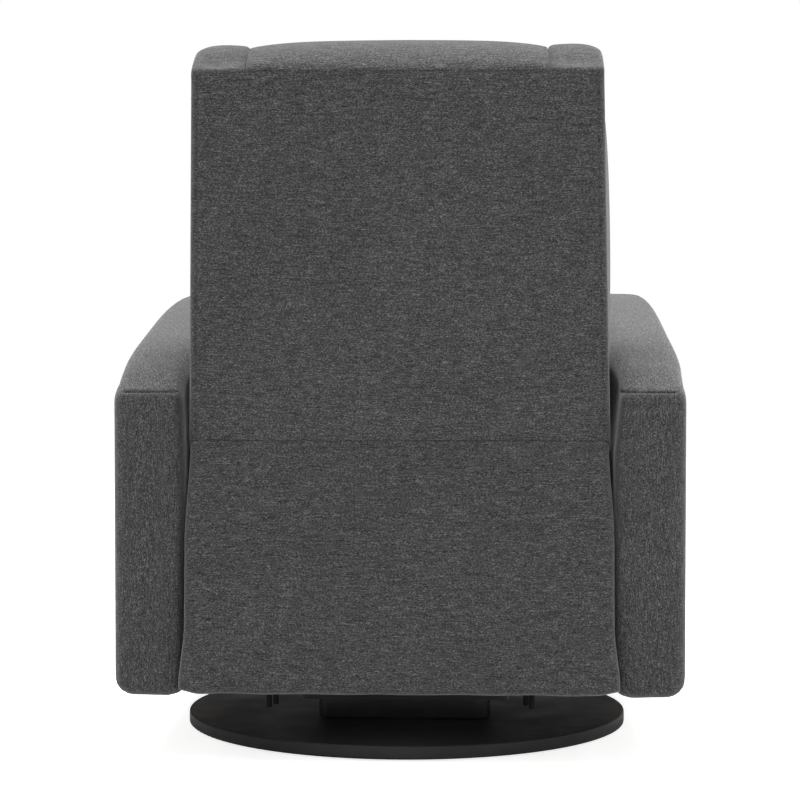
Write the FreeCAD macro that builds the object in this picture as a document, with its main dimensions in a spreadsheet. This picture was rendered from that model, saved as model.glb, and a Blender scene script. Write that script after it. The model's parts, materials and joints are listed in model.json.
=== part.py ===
"""Swivel rocker recliner: a parametric FreeCAD document, in millimetres.

Frame: +Z up, origin on the floor under the middle of the round base. The sitter faces -Y, so the backrest is at +Y
and the sitter's right hand is at -X.
"""

import FreeCAD, Part
import math
import os
import re

from FreeCAD import Placement, Rotation, Vector

# Driving dimensions: alias, value, what it measures.
DIMENSIONS = [
    ("disc_diameter", 644, "round base board"),
    ("disc_thickness", 18, "round base board"),
    ("disc_edge_round", 2.5, "rounding of the base board's edges"),
    ("glide_diameter", 32, "felt glide under the base board"),
    ("glide_thickness", 2, "felt glide"),
    ("glide_circle", 560, "circle that the glides stand on"),
    ("glide_count", 6, "felt glides"),
    ("ball_circle", 180, "circle of the swivel bearing's balls"),
    ("ball_diameter", 10, "swivel bearing ball"),
    ("ball_count", 16, "swivel bearing balls"),
    ("ball_clearance", 0.1, "play between a ball and its groove or pocket"),
    ("race_width", 26, "radial width of a bearing race"),
    ("race_height", 13, "height of a bearing race"),
    ("race_gap", 4, "height between the two races"),
    ("cage_thickness", 2.4, "ball cage"),
    ("spindle_diameter", 16, "centre spindle"),
    ("spindle_flange_diameter", 70, "flange that holds the spindle to the board"),
    ("spindle_flange_thickness", 5, "flange of the spindle"),
    ("nut_width", 24, "across the flats of the spindle nut"),
    ("nut_height", 9, "spindle nut"),
    ("nut_play", 0.5, "end play under the spindle nut"),
    ("running_clearance", 0.05, "radial play of a pin in its hole"),
    ("plate_width", 300, "turn plate, side to side"),
    ("plate_depth", 250, "turn plate, front to back"),
    ("plate_thickness", 6, "turn plate and rocker plate"),
    ("plate_corner", 14, "corner radius of the turn plate"),
    ("skirt_width", 248, "swivel cover, side to side"),
    ("skirt_depth", 228, "swivel cover, front to back"),
    ("skirt_wall", 3, "wall of the swivel cover"),
    ("skirt_corner", 22, "corner radius of the swivel cover"),
    ("skirt_gap", 2, "gap from the swivel cover to the base board"),
    ("ear_offset", 112, "rocker ear's inner face from the middle"),
    ("ear_thickness", 8, "rocker ear"),
    ("ear_width", 34, "rocker ear, front to back"),
    ("rock_height", 26, "rocking shaft's axis above the turn plate"),
    ("rock_shaft_diameter", 18, "rocking shaft"),
    ("rocker_rise", 24, "rocker plate's underside above the rocking axis"),
    ("bush_block_width", 20, "rocker bearing block, side to side"),
    ("block_gap", 1, "side play between a bearing block and its ear"),
    ("spring_wire", 5, "rocker spring wire"),
    ("spring_diameter", 34, "rocker spring, outside"),
    ("spring_turns", 4, "turns of a rocker spring between its end coils"),
    ("spring_x", 70, "rocker spring from the middle, side to side"),
    ("spring_y", 92, "rocker spring from the middle, front to back"),
    ("tube_size", 25, "square cross tube"),
    ("tube_wall", 2, "wall of a cross tube"),
    ("tube_y", 95, "cross tube's middle from the rocking axis"),
    ("rail_size", 20, "base rail, square"),
    ("rail_x", 175, "base rail's middle from the middle"),
    ("rail_length", 580, "base rail"),
    ("stop_diameter", 8, "stop bolt"),
    ("stop_length", 26, "stop bolt below the base rail"),
    ("stop_y", 272, "stop bolts' middle from the middle, front to back"),
    ("stop_pitch", 26, "between the two stop bolts of a pair"),
    ("side_x", 249, "side plate's inner face from the middle"),
    ("side_thickness", 5, "side plate"),
    ("side_front", 322, "side plate's front edge, ahead of the middle"),
    ("side_rear", 322, "side plate's rear edge, behind the middle"),
    ("side_rail_height", 55, "lower bar of the side plate"),
    ("side_post_width", 84, "front post of the side plate"),
    ("back_post_width", 36, "slanted rear post of the side plate"),
    ("back_post_foot", 150, "rear post's foot, behind the middle"),
    ("deck_height", 348, "top of the front post, under the deck board"),
    ("deck_thickness", 10, "deck board"),
    ("deck_front", 372, "deck board's front edge, ahead of the middle"),
    ("rail_board", 40, "front seat rail, front to back"),
    ("seat_rail_height", 58, "seat rail"),
    ("front_rail_y", 262, "front seat rail's front face, ahead of the middle"),
    ("rear_rail_y", 205, "rear seat rail's front face, behind the middle"),
    ("rear_rail_board", 20, "rear seat rail, front to back"),
    ("seat_wire", 3.6, "zigzag seat spring wire"),
    ("seat_spring_count", 5, "zigzag seat springs"),
    ("seat_spring_pitch", 96, "between two zigzag seat springs"),
    ("seat_spring_half_width", 24, "half width of a zigzag seat spring"),
    ("seat_spring_bends", 15, "bends of a zigzag seat spring"),
    ("seat_width", 572, "between the arms"),
    ("arm_width", 95, "upholstered arm, side to side"),
    ("arm_front", 395, "arm's front face, ahead of the middle"),
    ("arm_rear", 345, "arm's rear face, behind the middle"),
    ("arm_bottom", 88, "arm's underside above the floor"),
    ("arm_front_rise", 112, "arm's top at its front above its top where the rear rounding starts"),
    ("arm_rear_rise", 36, "arm's top where the rear rounding starts, above the seam at its foot"),
    ("arm_round_start", 245, "where the rear rounding starts, behind the middle"),
    ("arm_seam_height", 495, "seam at the foot of the rear rounding, above the floor"),
    ("arm_edge_round", 16, "rounding of the arm's long edges"),
    ("arm_corner", 14, "rounding of the arm's lower corners"),
    ("arm_nose", 34, "rounding at the front of the arm's top"),
    ("arm_nose_fall", 4, "fall of the arm's top at the end of its front rounding"),
    ("arm_top_middle", 75, "middle of the arm's top sweep, ahead of the middle"),
    ("arm_top_swell", 21, "rise of the arm's top sweep above its straight line"),
    ("arm_rear_reach", 62, "middle of the rear rounding, behind its start"),
    ("arm_rear_fall", 18, "middle of the rear rounding, below its start"),
    ("board_thickness", 18, "arm board inside the arm"),
    ("board_height", 470, "top of the arm board above the floor"),
    ("board_margin", 24, "arm board back from the arm's front and rear faces"),
    ("soft_clearance", 0.3, "gap between a soft piece and its neighbour"),
    ("cushion_height", 98, "seat cushion at its edges"),
    ("cushion_crown", 16, "rise of the seat cushion's middle"),
    ("cushion_nose", 42, "height of the seat cushion's nose above its underside"),
    ("cushion_tuck", 22, "how far the seat cushion's nose tucks in below"),
    ("cushion_brow", 30, "where the seat cushion's nose starts, behind its front"),
    ("cushion_fall", 8, "fall of the seat cushion's top at its rear edge"),
    ("cushion_draw", 14, "how far the seat cushion's sides are drawn in"),
    ("cushion_front", 386, "seat cushion's front, ahead of the middle"),
    ("cushion_rear", 148, "seat cushion's rear, behind the middle"),
    ("hinge_y", 280, "backrest hinge axis, behind the middle"),
    ("hinge_z", 458, "backrest hinge axis above the floor"),
    ("hinge_pin_diameter", 12, "backrest hinge pin"),
    ("back_lean", 9.2, "backrest's lean at rest, in degrees"),
    ("recline_angle", 38, "backrest's travel from its lean at rest, in degrees"),
    ("roll_radius", 56, "backrest's rear face from the hinge axis"),
    ("roll_angle", 40, "how far the shell curls under the hinge, in degrees"),
    ("roll_gap", 1.5, "gap from the curled shell to the rear panel"),
    ("shell_thickness", 12, "backrest's rear shell"),
    ("shell_height", 468, "rear shell's top seam above the hinge axis"),
    ("back_bottom_width", 561, "backrest at the hinge axis"),
    ("back_top_width", 534, "backrest at its top seam"),
    ("crest_rise", 35, "backrest's crest above its rear top seam"),
    ("crest_brow", 26, "front of the head rest below the crest"),
    ("lumbar_swell", 10, "swell of the backrest's face at the lumbar"),
    ("back_tuck", 12, "how far the backrest's face draws back at its foot"),
    ("return_gap", 0.5, "gap from the shell's side return to the backrest bracket"),
    ("return_foot", 45, "foot of the shell's side return above the hinge axis"),
    ("back_depth", 126, "backrest's front face ahead of the hinge axis"),
    ("centre_width", 392, "backrest's centre cushion between its seams"),
    ("bolster_corner", 13, "fall of a side bolster's crest at its outer corner"),
    ("bolster_notch", 6, "fall of the crest where a bolster meets the centre cushion"),
    ("bolster_swell", 14, "how far the side bolsters stand ahead of the centre"),
    ("frame_depth", 18, "back board's thickness"),
    ("bracket_thickness", 4, "backrest bracket and footrest link"),
    ("link_gap", 1, "gap between two flat links"),
    ("bracket_length", 165, "backrest bracket above the hinge axis"),
    ("panel_bottom", 92, "rear panel's lower edge above the floor"),
    ("panel_foot", 362, "rear panel's lower edge, behind the middle"),
    ("panel_top", 431, "rear panel's upper edge above the floor"),
    ("panel_head", 336.6, "rear panel's upper edge, behind the middle"),
    ("panel_inner", 324, "rear panel's inner face, behind the middle"),
    ("panel_sweep", 7, "how much the rear panel narrows to its top, each side"),
    ("panel_fullness", 5, "swell of the rear panel's outer face"),
    ("panel_hem", 14, "rounding of the rear panel's lower edge"),
    ("batten_height", 40, "batten that holds the rear panel's foot"),
    ("batten_depth", 22, "batten, front to back"),
    ("link_length", 205, "footrest link between its end pivots"),
    ("link_width", 16, "footrest link"),
    ("link_angle", 85, "footrest links from the horizontal at rest, in degrees"),
    ("open_angle", 8, "footrest links from the horizontal when open, in degrees"),
    ("pivot_height", 330, "footrest's fixed pivot above the floor"),
    ("rivet_diameter", 8, "footrest link rivets"),
    ("rivet_head", 13, "footrest rivet head"),
    ("rivet_head_height", 2, "footrest rivet head"),
    ("roller_diameter", 12, "roller in the side plate's slot"),
    ("slot_clearance", 0.25, "play of the roller in its slot, each side"),
    ("torque_tube_diameter", 16, "tube that joins the two drive links"),
    ("board_stand_off", 30, "footrest board ahead of its link's upper pivot"),
    ("footrest_board_thickness", 15, "footrest board"),
    ("footrest_pad_thickness", 50, "footrest pad"),
    ("footrest_crown", 10, "swell of the footrest pad's front"),
    ("footrest_top", 335, "footrest pad's upper edge above the floor"),
    ("footrest_bottom", 102, "footrest pad's lower edge above the floor"),
    ("footrest_width", 560, "footrest pad, side to side"),
    ("footrest_board_margin", 16, "footrest board back from the pad's edges"),
    ("flange_width", 30, "flange that screws to the footrest board"),
    ("handle_y", 150, "release handle's middle, ahead of the middle"),
    ("handle_z", 430, "release handle's middle above the floor"),
    ("handle_length", 120, "release handle's bezel, front to back"),
    ("handle_height", 74, "release handle's bezel"),
    ("handle_depth", 24, "depth of the release handle's cup"),
    ("handle_wall", 3, "wall of the release handle's cup"),
    ("bezel_lip", 8, "rim of the bezel around its cup"),
    ("bezel_thickness", 2, "rim of the bezel"),
    ("paddle_thickness", 5, "release paddle"),
    ("paddle_gap", 2, "gap between the paddle and the cup"),
    ("handle_pin_diameter", 5, "release paddle's pin"),
    ("cable_diameter", 6, "release cable's sheath"),
    ("cable_bend", 40, "bend radius of the release cable"),
    ("cable_height", 128, "release cable's lower run above the floor"),
]

# Places that follow from the driving dimensions: alias, formula.
LAYOUT = [
    ("disc_top", "glide_thickness + disc_thickness"),
    ("race_top", "disc_top + race_height"),
    ("ball_z", "race_top + race_gap / 2"),
    ("upper_race_z", "race_top + race_gap"),
    ("plate_z", "upper_race_z + race_height"),
    ("plate_top", "plate_z + plate_thickness"),
    ("rock_z", "plate_top + rock_height"),
    ("rocker_z", "rock_z + rocker_rise"),
    ("tube_z", "rocker_z + plate_thickness"),
    ("tube_top", "tube_z + tube_size"),
    ("rail_z", "tube_z - rail_size"),
    ("arm_inner", "seat_width / 2"),
    ("arm_outer", "seat_width / 2 + arm_width"),
    ("arm_rear_height", "arm_seam_height + arm_rear_rise"),
    ("arm_front_height", "arm_rear_height + arm_front_rise"),
    ("board_x", "seat_width / 2 + (arm_width - board_thickness) / 2"),
    ("board_outer", "board_x + board_thickness"),
    ("side_outer", "side_x + side_thickness"),
    ("side_bottom", "tube_z - 12"),
    ("deck_top", "deck_height + deck_thickness"),
    ("cushion_z", "deck_top + soft_clearance"),
    ("link_a_x", "side_x - link_gap - bracket_thickness"),
    ("link_b_x", "link_a_x - link_gap - bracket_thickness"),
    ("link_run", "link_length * cos(link_angle)"),
    ("link_drop", "link_length * sin(link_angle)"),
    ("open_drop", "link_length * sin(open_angle)"),
    ("board_rear", "arm_front - footrest_pad_thickness - footrest_board_thickness"),
    ("pivot_y", "-(board_rear - board_stand_off - link_run)"),
    ("frame_front", "roll_radius - shell_thickness - frame_depth"),
    ("stile_outer", "link_a_x"),
]

doc = FreeCAD.newDocument("SwivelRockerRecliner")
NODES = []


def make_sheet(name, rows):
    """A spreadsheet with a note in column A and an aliased cell in column B."""
    sheet = doc.addObject("Spreadsheet::Sheet", name)
    for number, (alias, content, note) in enumerate(rows, start=1):
        sheet.set(f"A{number}", note)
        sheet.set(f"B{number}", content)
        sheet.setAlias(f"B{number}", alias)
    doc.recompute()
    return sheet


DRIVING_NAMES = {row[0] for row in DIMENSIONS}
LAYOUT_NAMES = {row[0] for row in LAYOUT}


def ex(text):
    """The expression text with each alias written out with the sheet that holds it."""

    def full_name(match):
        word = match.group(0)
        if word in DRIVING_NAMES:
            return "Dims." + word
        if word in LAYOUT_NAMES:
            return "Layout." + word
        return word

    return re.sub(r"[A-Za-z_][A-Za-z_0-9]*", full_name, str(text))


def layout_formula(text):
    """A layout cell's formula: driving dimensions are in the other sheet, and earlier layout cells in this one."""
    return "=" + re.sub(
        r"[A-Za-z_][A-Za-z_0-9]*",
        lambda match: "Dims." + match.group(0) if match.group(0) in DRIVING_NAMES else match.group(0),
        text,
    )


dims_sheet = make_sheet("Dims", [(alias, str(value), note) for alias, value, note in DIMENSIONS])
layout_sheet = make_sheet("Layout", [(alias, layout_formula(text), text) for alias, text in LAYOUT])


class Sizes:
    """Reads a driving dimension or a layout place by its alias, as a number."""

    def __getattr__(self, alias):
        sheet = dims_sheet if alias in DRIVING_NAMES else layout_sheet
        return float(sheet.get(alias))


d = Sizes()


# Helpers: document objects whose sizes and places are bound to the sheets.


def move(piece, x="0", y="0", z="0"):
    piece.setExpression("Placement.Base.x", ex(x))
    piece.setExpression("Placement.Base.y", ex(y))
    piece.setExpression("Placement.Base.z", ex(z))
    return piece


def turn(piece, axis, angle):
    """Turn a piece about an axis through its own origin, by an angle in degrees bound to the sheets."""
    piece.Placement = Placement(Vector(0, 0, 0), Rotation(axis, 1))
    piece.setExpression("Placement.Rotation.Angle", ex(angle))
    return piece


def node(piece, label):
    """Name a finished sub-part."""
    piece.Label = label
    NODES.append(piece)
    return piece


def box(name, size, at):
    piece = doc.addObject("Part::Box", name)
    piece.setExpression("Length", ex(size[0]))
    piece.setExpression("Width", ex(size[1]))
    piece.setExpression("Height", ex(size[2]))
    return move(piece, *at)


AXES = {
    "x": Rotation(Vector(0, 1, 0), 90),
    "y": Rotation(Vector(1, 0, 0), -90),
    "z": Rotation(),
}


def rod(name, radius, length, at, axis="x"):
    """A cylinder that starts at a point and runs along +X, +Y or +Z."""
    piece = doc.addObject("Part::Cylinder", name)
    piece.setExpression("Radius", ex(radius))
    piece.setExpression("Height", ex(length))
    piece.Placement = Placement(Vector(0, 0, 0), AXES[axis])
    return move(piece, *at)


def fuse(name, *pieces):
    joined = doc.addObject("Part::MultiFuse", name)
    joined.Shapes = list(pieces)
    joined.Refine = True
    return joined


def group(name, *pieces):
    """Separate solids that make one sub-part."""
    together = doc.addObject("Part::Compound", name)
    together.Links = list(pieces)
    return together


def cut(name, base, *tools):
    tool = tools[0] if len(tools) == 1 else fuse(name + "_tool", *tools)
    result = doc.addObject("Part::Cut", name)
    result.Base = base
    result.Tool = tool
    result.Refine = True
    return result


def form(name, shape):
    """A sub-part whose shape is worked out in code from the sheets."""
    piece = doc.addObject("Part::Feature", name)
    piece.Shape = shape
    return piece


def side_start(side, inner, thickness):
    """Where a plate starts along X, given its inner face's distance from the middle."""
    return f"({inner})" if side > 0 else f"-(({inner}) + ({thickness}))"


SIDES = (("left", 1), ("right", -1))


def body(name):
    return doc.addObject("PartDesign::Body", name)


def sketch_on(owner, name, plane):
    sketch = owner.newObject("Sketcher::SketchObject", name)
    features = owner.Origin.OriginFeatures
    support = next(feature for feature in features if feature.Role == plane)
    sketch.AttachmentSupport = [(support, "")]
    sketch.MapMode = "FlatFace"
    return sketch


def circle(sketch, name, radius, x="0", y="0"):
    """A circle in a sketch, with its radius and centre bound to the sheets."""
    import Sketcher

    index = sketch.addGeometry(Part.Circle(Vector(0, 0, 0), Vector(0, 0, 1), 10))
    sketch.addConstraint(Sketcher.Constraint("Radius", index, 10))
    sketch.renameConstraint(sketch.ConstraintCount - 1, name + "_radius")
    sketch.setExpression(f"Constraints.{name}_radius", ex(radius))
    if (x, y) == ("0", "0"):
        sketch.addConstraint(Sketcher.Constraint("Coincident", index, 3, -1, 1))
        return index
    for kind, value, suffix in (("DistanceX", x, "_x"), ("DistanceY", y, "_y")):
        sketch.addConstraint(Sketcher.Constraint(kind, -1, 1, index, 3, 5))
        sketch.renameConstraint(sketch.ConstraintCount - 1, name + suffix)
        sketch.setExpression(f"Constraints.{name}{suffix}", ex(value))
    return index


def rectangle(sketch, name, width, depth):
    """A rectangle about the sketch's origin, with its sides bound to the sheets."""
    import Sketcher

    corners = [Vector(-5, -4, 0), Vector(5, -4, 0), Vector(5, 4, 0), Vector(-5, 4, 0)]
    lines = []
    for number in range(4):
        segment = Part.LineSegment(corners[number], corners[(number + 1) % 4])
        lines.append(sketch.addGeometry(segment))
    for number in range(4):
        sketch.addConstraint(Sketcher.Constraint("Coincident", lines[number], 2, lines[(number + 1) % 4], 1))
    sketch.addConstraint(Sketcher.Constraint("Horizontal", lines[0]))
    sketch.addConstraint(Sketcher.Constraint("Vertical", lines[1]))
    sketch.addConstraint(Sketcher.Constraint("Symmetric", lines[0], 1, lines[2], 1, -1, 1))
    sketch.addConstraint(Sketcher.Constraint("Symmetric", lines[1], 1, lines[3], 1, -1, 1))
    sketch.addConstraint(Sketcher.Constraint("DistanceX", lines[0], 1, lines[0], 2, 10))
    sketch.renameConstraint(sketch.ConstraintCount - 1, name + "_width")
    sketch.setExpression(f"Constraints.{name}_width", ex(width))
    sketch.addConstraint(Sketcher.Constraint("DistanceY", lines[1], 1, lines[1], 2, 8))
    sketch.renameConstraint(sketch.ConstraintCount - 1, name + "_depth")
    sketch.setExpression(f"Constraints.{name}_depth", ex(depth))


def pad(owner, name, sketch, length):
    feature = owner.newObject("PartDesign::Pad", name)
    feature.Profile = sketch
    feature.setExpression("Length", ex(length))
    sketch.Visibility = False
    return feature


# Base: the round board on felt glides, with the lower race and the spindle.

base_disc = body("BaseDisc")
disc_sketch = sketch_on(base_disc, "DiscSketch", "XY_Plane")
circle(disc_sketch, "rim", "disc_diameter / 2")
circle(disc_sketch, "spindle_hole", "spindle_diameter / 2")
disc_pad = pad(base_disc, "DiscPad", disc_sketch, "disc_thickness")
doc.recompute()
rim_edges = []
for number, edge in enumerate(disc_pad.Shape.Edges, start=1):
    if edge.Closed and abs(edge.Curve.Radius - d.disc_diameter / 2) < 0.01:
        rim_edges.append(f"Edge{number}")
disc_round = base_disc.newObject("PartDesign::Fillet", "DiscRound")
disc_round.Base = (disc_pad, rim_edges)
disc_round.setExpression("Radius", ex("disc_edge_round"))
move(base_disc, z="glide_thickness")
node(base_disc, "base_disc")

glides = []
for number in range(int(d.glide_count)):
    angle = f"(30 + {number} * 360 / glide_count)"
    glides.append(
        rod(
            f"Glide{number}",
            "glide_diameter / 2",
            "glide_thickness",
            (f"glide_circle / 2 * cos({angle})", f"glide_circle / 2 * sin({angle})", "0"),
            "z",
        )
    )
glides.append(rod("GlideMiddle", "glide_diameter / 2", "glide_thickness", ("0", "0", "0"), "z"))
node(group("BaseGlides", *glides), "base_glides")


def ring(name, inner, outer, height, z):
    """A flat ring about the swivel axis."""
    outside = rod(name + "_outside", outer, height, ("0", "0", z), "z")
    inside = rod(name + "_inside", inner, f"{height} + 2", ("0", "0", f"{z} - 1"), "z")
    return cut(name, outside, inside)


def groove(name):
    """The round groove that the balls run in."""
    piece = doc.addObject("Part::Torus", name)
    piece.setExpression("Radius1", ex("ball_circle / 2"))
    piece.setExpression("Radius2", ex("ball_diameter / 2 + ball_clearance"))
    return move(piece, z="ball_z")


race_inner = "ball_circle / 2 - race_width / 2"
race_outer = "ball_circle / 2 + race_width / 2"
lower_ring = ring("LowerRing", race_inner, race_outer, "race_height", "disc_top")
node(cut("LowerRace", lower_ring, groove("LowerGroove")), "swivel_lower_race")

spindle_rod = rod(
    "SpindleRod",
    "spindle_diameter / 2",
    "plate_top + nut_play + nut_height + 4 - glide_thickness",
    ("0", "0", "glide_thickness"),
    "z",
)
spindle_flange = rod(
    "SpindleFlange", "spindle_flange_diameter / 2", "spindle_flange_thickness", ("0", "0", "disc_top"), "z"
)
node(fuse("Spindle", spindle_rod, spindle_flange), "swivel_spindle")

nut_hexagon = doc.addObject("Part::Prism", "NutHexagon")
nut_hexagon.Polygon = 6
nut_hexagon.setExpression("Circumradius", ex("nut_width / 2 / cos(30)"))
nut_hexagon.setExpression("Height", ex("nut_height"))
move(nut_hexagon, z="plate_top + nut_play")
nut_hole = rod("NutHole", "spindle_diameter / 2", "nut_height + 2", ("0", "0", "plate_top + nut_play - 1"), "z")
node(cut("SpindleNut", nut_hexagon, nut_hole), "spindle_nut")

# Ball ring: the balls and the cage that spaces them.

balls = []
pockets = []
for number in range(int(d.ball_count)):
    angle = f"({number} * 360 / ball_count)"
    at = (f"ball_circle / 2 * cos({angle})", f"ball_circle / 2 * sin({angle})")
    ball = doc.addObject("Part::Sphere", f"Ball{number}")
    ball.setExpression("Radius", ex("ball_diameter / 2"))
    balls.append(move(ball, at[0], at[1], "ball_z"))
    pocket_z = "ball_z - cage_thickness / 2 - 1"
    pockets.append(
        rod(f"Pocket{number}", "ball_diameter / 2 + ball_clearance", "cage_thickness + 2", (*at, pocket_z), "z")
    )
node(group("Balls", *balls), "swivel_balls")
cage_ring = ring(
    "CageRing",
    "ball_circle / 2 - ball_diameter",
    "ball_circle / 2 + ball_diameter",
    "cage_thickness",
    "ball_z - cage_thickness / 2",
)
node(cut("BallCage", cage_ring, *pockets), "ball_cage")

# Turntable: the upper race, the turn plate, its cover, the rocker ears, the rocking shaft and the rocker springs.

upper_ring = ring("UpperRing", race_inner, race_outer, "race_height", "upper_race_z")
node(cut("UpperRace", upper_ring, groove("UpperGroove")), "swivel_upper_race")

turn_plate = body("TurnPlate")
plate_sketch = sketch_on(turn_plate, "PlateSketch", "XY_Plane")
rectangle(plate_sketch, "plate", "plate_width", "plate_depth")
circle(plate_sketch, "spindle_bore", "spindle_diameter / 2 + running_clearance")
plate_pad = pad(turn_plate, "PlatePad", plate_sketch, "plate_thickness")
doc.recompute()
upright_edges = []
for number, edge in enumerate(plate_pad.Shape.Edges, start=1):
    first, last = edge.Vertexes[0].Point, edge.Vertexes[-1].Point
    if abs(first.z - last.z) > 1 and math.hypot(first.x, first.y) > d.plate_depth / 2:
        upright_edges.append(f"Edge{number}")
plate_round = turn_plate.newObject("PartDesign::Fillet", "PlateRound")
plate_round.Base = (plate_pad, upright_edges)
plate_round.setExpression("Radius", ex("plate_corner"))
move(turn_plate, z="plate_z")
node(turn_plate, "turn_plate")


def rounded_block(name, width, depth, height, corner, z):
    """An upright block with round corners, about the swivel axis."""
    long_box = box(name + "_long", (width, f"{depth} - 2 * ({corner})", height), (f"-({width}) / 2", f"-({depth}) / 2 + ({corner})", z))
    wide_box = box(name + "_wide", (f"{width} - 2 * ({corner})", depth, height), (f"-({width}) / 2 + ({corner})", f"-({depth}) / 2", z))
    posts = []
    for number, (across, along) in enumerate(((1, 1), (1, -1), (-1, -1), (-1, 1))):
        at = (f"{across} * (({width}) / 2 - ({corner}))", f"{along} * (({depth}) / 2 - ({corner}))", z)
        posts.append(rod(f"{name}_post{number}", corner, height, at, "z"))
    return fuse(name, long_box, wide_box, *posts)


skirt_z = "disc_top + skirt_gap"
skirt_height = "(plate_z - disc_top - skirt_gap)"
skirt_outside = rounded_block("SkirtOutside", "skirt_width", "skirt_depth", skirt_height, "skirt_corner", skirt_z)
skirt_inside = rounded_block(
    "SkirtInside",
    "skirt_width - 2 * skirt_wall",
    "skirt_depth - 2 * skirt_wall",
    f"{skirt_height} + 2",
    "skirt_corner - skirt_wall",
    f"{skirt_z} - 1",
)
node(cut("SwivelSkirt", skirt_outside, skirt_inside), "swivel_cover")

ears = []
for side_name, side in SIDES:
    x = side_start(side, "ear_offset", "ear_thickness")
    ear_foot = box(f"EarFoot_{side_name}", ("ear_thickness", "ear_width", "rock_height"), (x, "-ear_width / 2", "plate_top"))
    ear_head = rod(f"EarHead_{side_name}", "ear_width / 2", "ear_thickness", (x, "0", "rock_z"))
    ear_hole = rod(f"EarHole_{side_name}", "rock_shaft_diameter / 2", "ear_thickness + 2", (f"{x} - 1", "0", "rock_z"))
    ears.append(cut(f"Ear_{side_name}", fuse(f"EarBlank_{side_name}", ear_foot, ear_head), ear_hole))
node(group("RockerEars", *ears), "rocker_ears")

shaft_end = "ear_offset + ear_thickness + 4"
rock_shaft = rod("RockShaft", "rock_shaft_diameter / 2", f"2 * ({shaft_end})", (f"-({shaft_end})", "0", "rock_z"))
node(rock_shaft, "rocker_shaft")


def arc_from(start, tangent, end):
    """The arc that leaves a point along a tangent and ends at another point."""
    chord = end - start
    axis = tangent.cross(chord)
    axis.normalize()
    inward = axis.cross(tangent)
    radius = chord.dot(chord) / (2 * chord.dot(inward))
    centre = start + inward * radius
    outward = (start + end) * 0.5 - centre
    outward.normalize()
    return Part.Arc(start, centre + outward * radius, end).toShape()


def biarc(start, start_tangent, end, end_tangent):
    """Two arcs that join two points and share a tangent where they meet."""
    chord = end - start
    along = chord.dot(start_tangent + end_tangent)
    spread = 2 * (1 - start_tangent.dot(end_tangent))
    reach = (math.sqrt(along * along + spread * chord.dot(chord)) - along) / spread
    first_corner = start + start_tangent * reach
    last_corner = end - end_tangent * reach
    middle = (first_corner + last_corner) * 0.5
    middle_tangent = last_corner - first_corner
    middle_tangent.normalize()
    return [arc_from(start, start_tangent, middle), arc_from(middle, middle_tangent, end)]


def coil_spring(outside, wire, turns, height):
    """A coil spring standing on z = 0, with one close coil at each end: its path in quarter turns, and its profile."""
    radius = (outside - wire) / 2
    low = wire / 2 + d.soft_clearance
    high = height - low
    close = wire * 1.15
    quarters = int(4 * turns) + 8
    climb = (high - low - 2 * close) / (quarters - 8)

    def height_at(quarter):
        if quarter <= 4:
            return low + close * quarter / 4
        if quarter >= quarters - 4:
            return high - close * (quarters - quarter) / 4
        return low + close + climb * (quarter - 4)

    points = []
    tangents = []
    for quarter in range(quarters + 1):
        angle = math.pi / 2 * quarter
        before = max(0, quarter - 1)
        after = min(quarters, quarter + 1)
        slope = (height_at(after) - height_at(before)) / ((after - before) * math.pi / 2)
        tangent = Vector(-radius * math.sin(angle), radius * math.cos(angle), slope)
        tangent.normalize()
        points.append(Vector(radius * math.cos(angle), radius * math.sin(angle), height_at(quarter)))
        tangents.append(tangent)
    edges = []
    for quarter in range(quarters):
        edges.extend(biarc(points[quarter], tangents[quarter], points[quarter + 1], tangents[quarter + 1]))
    least = min(points[quarter + 4].z - points[quarter].z for quarter in range(quarters - 3)) - wire
    print(f"rocker spring: least gap between its turns {least:.2f} mm")
    return Part.Wire(edges), Part.Wire([Part.makeCircle(wire / 2, points[0], tangents[0])])


def tube_along(path, profile):
    """The profile carried along a path."""
    shell = Part.BRepOffsetAPI.MakePipeShell(path)
    shell.add(profile)
    shell.build()
    shell.makeSolid()
    return shell.shape()


spring_path, spring_profile = coil_spring(d.spring_diameter, d.spring_wire, d.spring_turns, d.rocker_z - d.plate_top)
one_spring = tube_along(spring_path, spring_profile)
springs = []
for across in (1, -1):
    for along in (1, -1):
        placed = one_spring.copy()
        placed.translate(Vector(across * d.spring_x, along * d.spring_y, d.plate_top))
        springs.append(placed)
node(form("RockerSprings", Part.makeCompound(springs)), "rocker_springs")

# Seat frame, carried on the rocking shaft: the rocker plate with its bearing blocks, cross tubes, base rails and side
# plates.

rocker_sheet = box(
    "RockerSheet",
    ("plate_width", "plate_depth", "plate_thickness"),
    ("-plate_width / 2", "-plate_depth / 2", "rocker_z"),
)
node(rocker_sheet, "rocker_plate")
for side_name, side in SIDES:
    x = side_start(side, "ear_offset - block_gap - bush_block_width", "bush_block_width")
    block_foot = box(
        f"BlockFoot_{side_name}", ("bush_block_width", "ear_width", "rocker_rise"), (x, "-ear_width / 2", "rock_z")
    )
    block_head = rod(f"BlockHead_{side_name}", "ear_width / 2", "bush_block_width", (x, "0", "rock_z"))
    block_hole = rod(
        f"BlockHole_{side_name}",
        "rock_shaft_diameter / 2 + running_clearance",
        "bush_block_width + 2",
        (f"{x} - 1", "0", "rock_z"),
    )
    block = cut(f"Block_{side_name}", fuse(f"BlockBlank_{side_name}", block_foot, block_head), block_hole)
    node(block, f"rocker_block_{side_name}")

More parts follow.
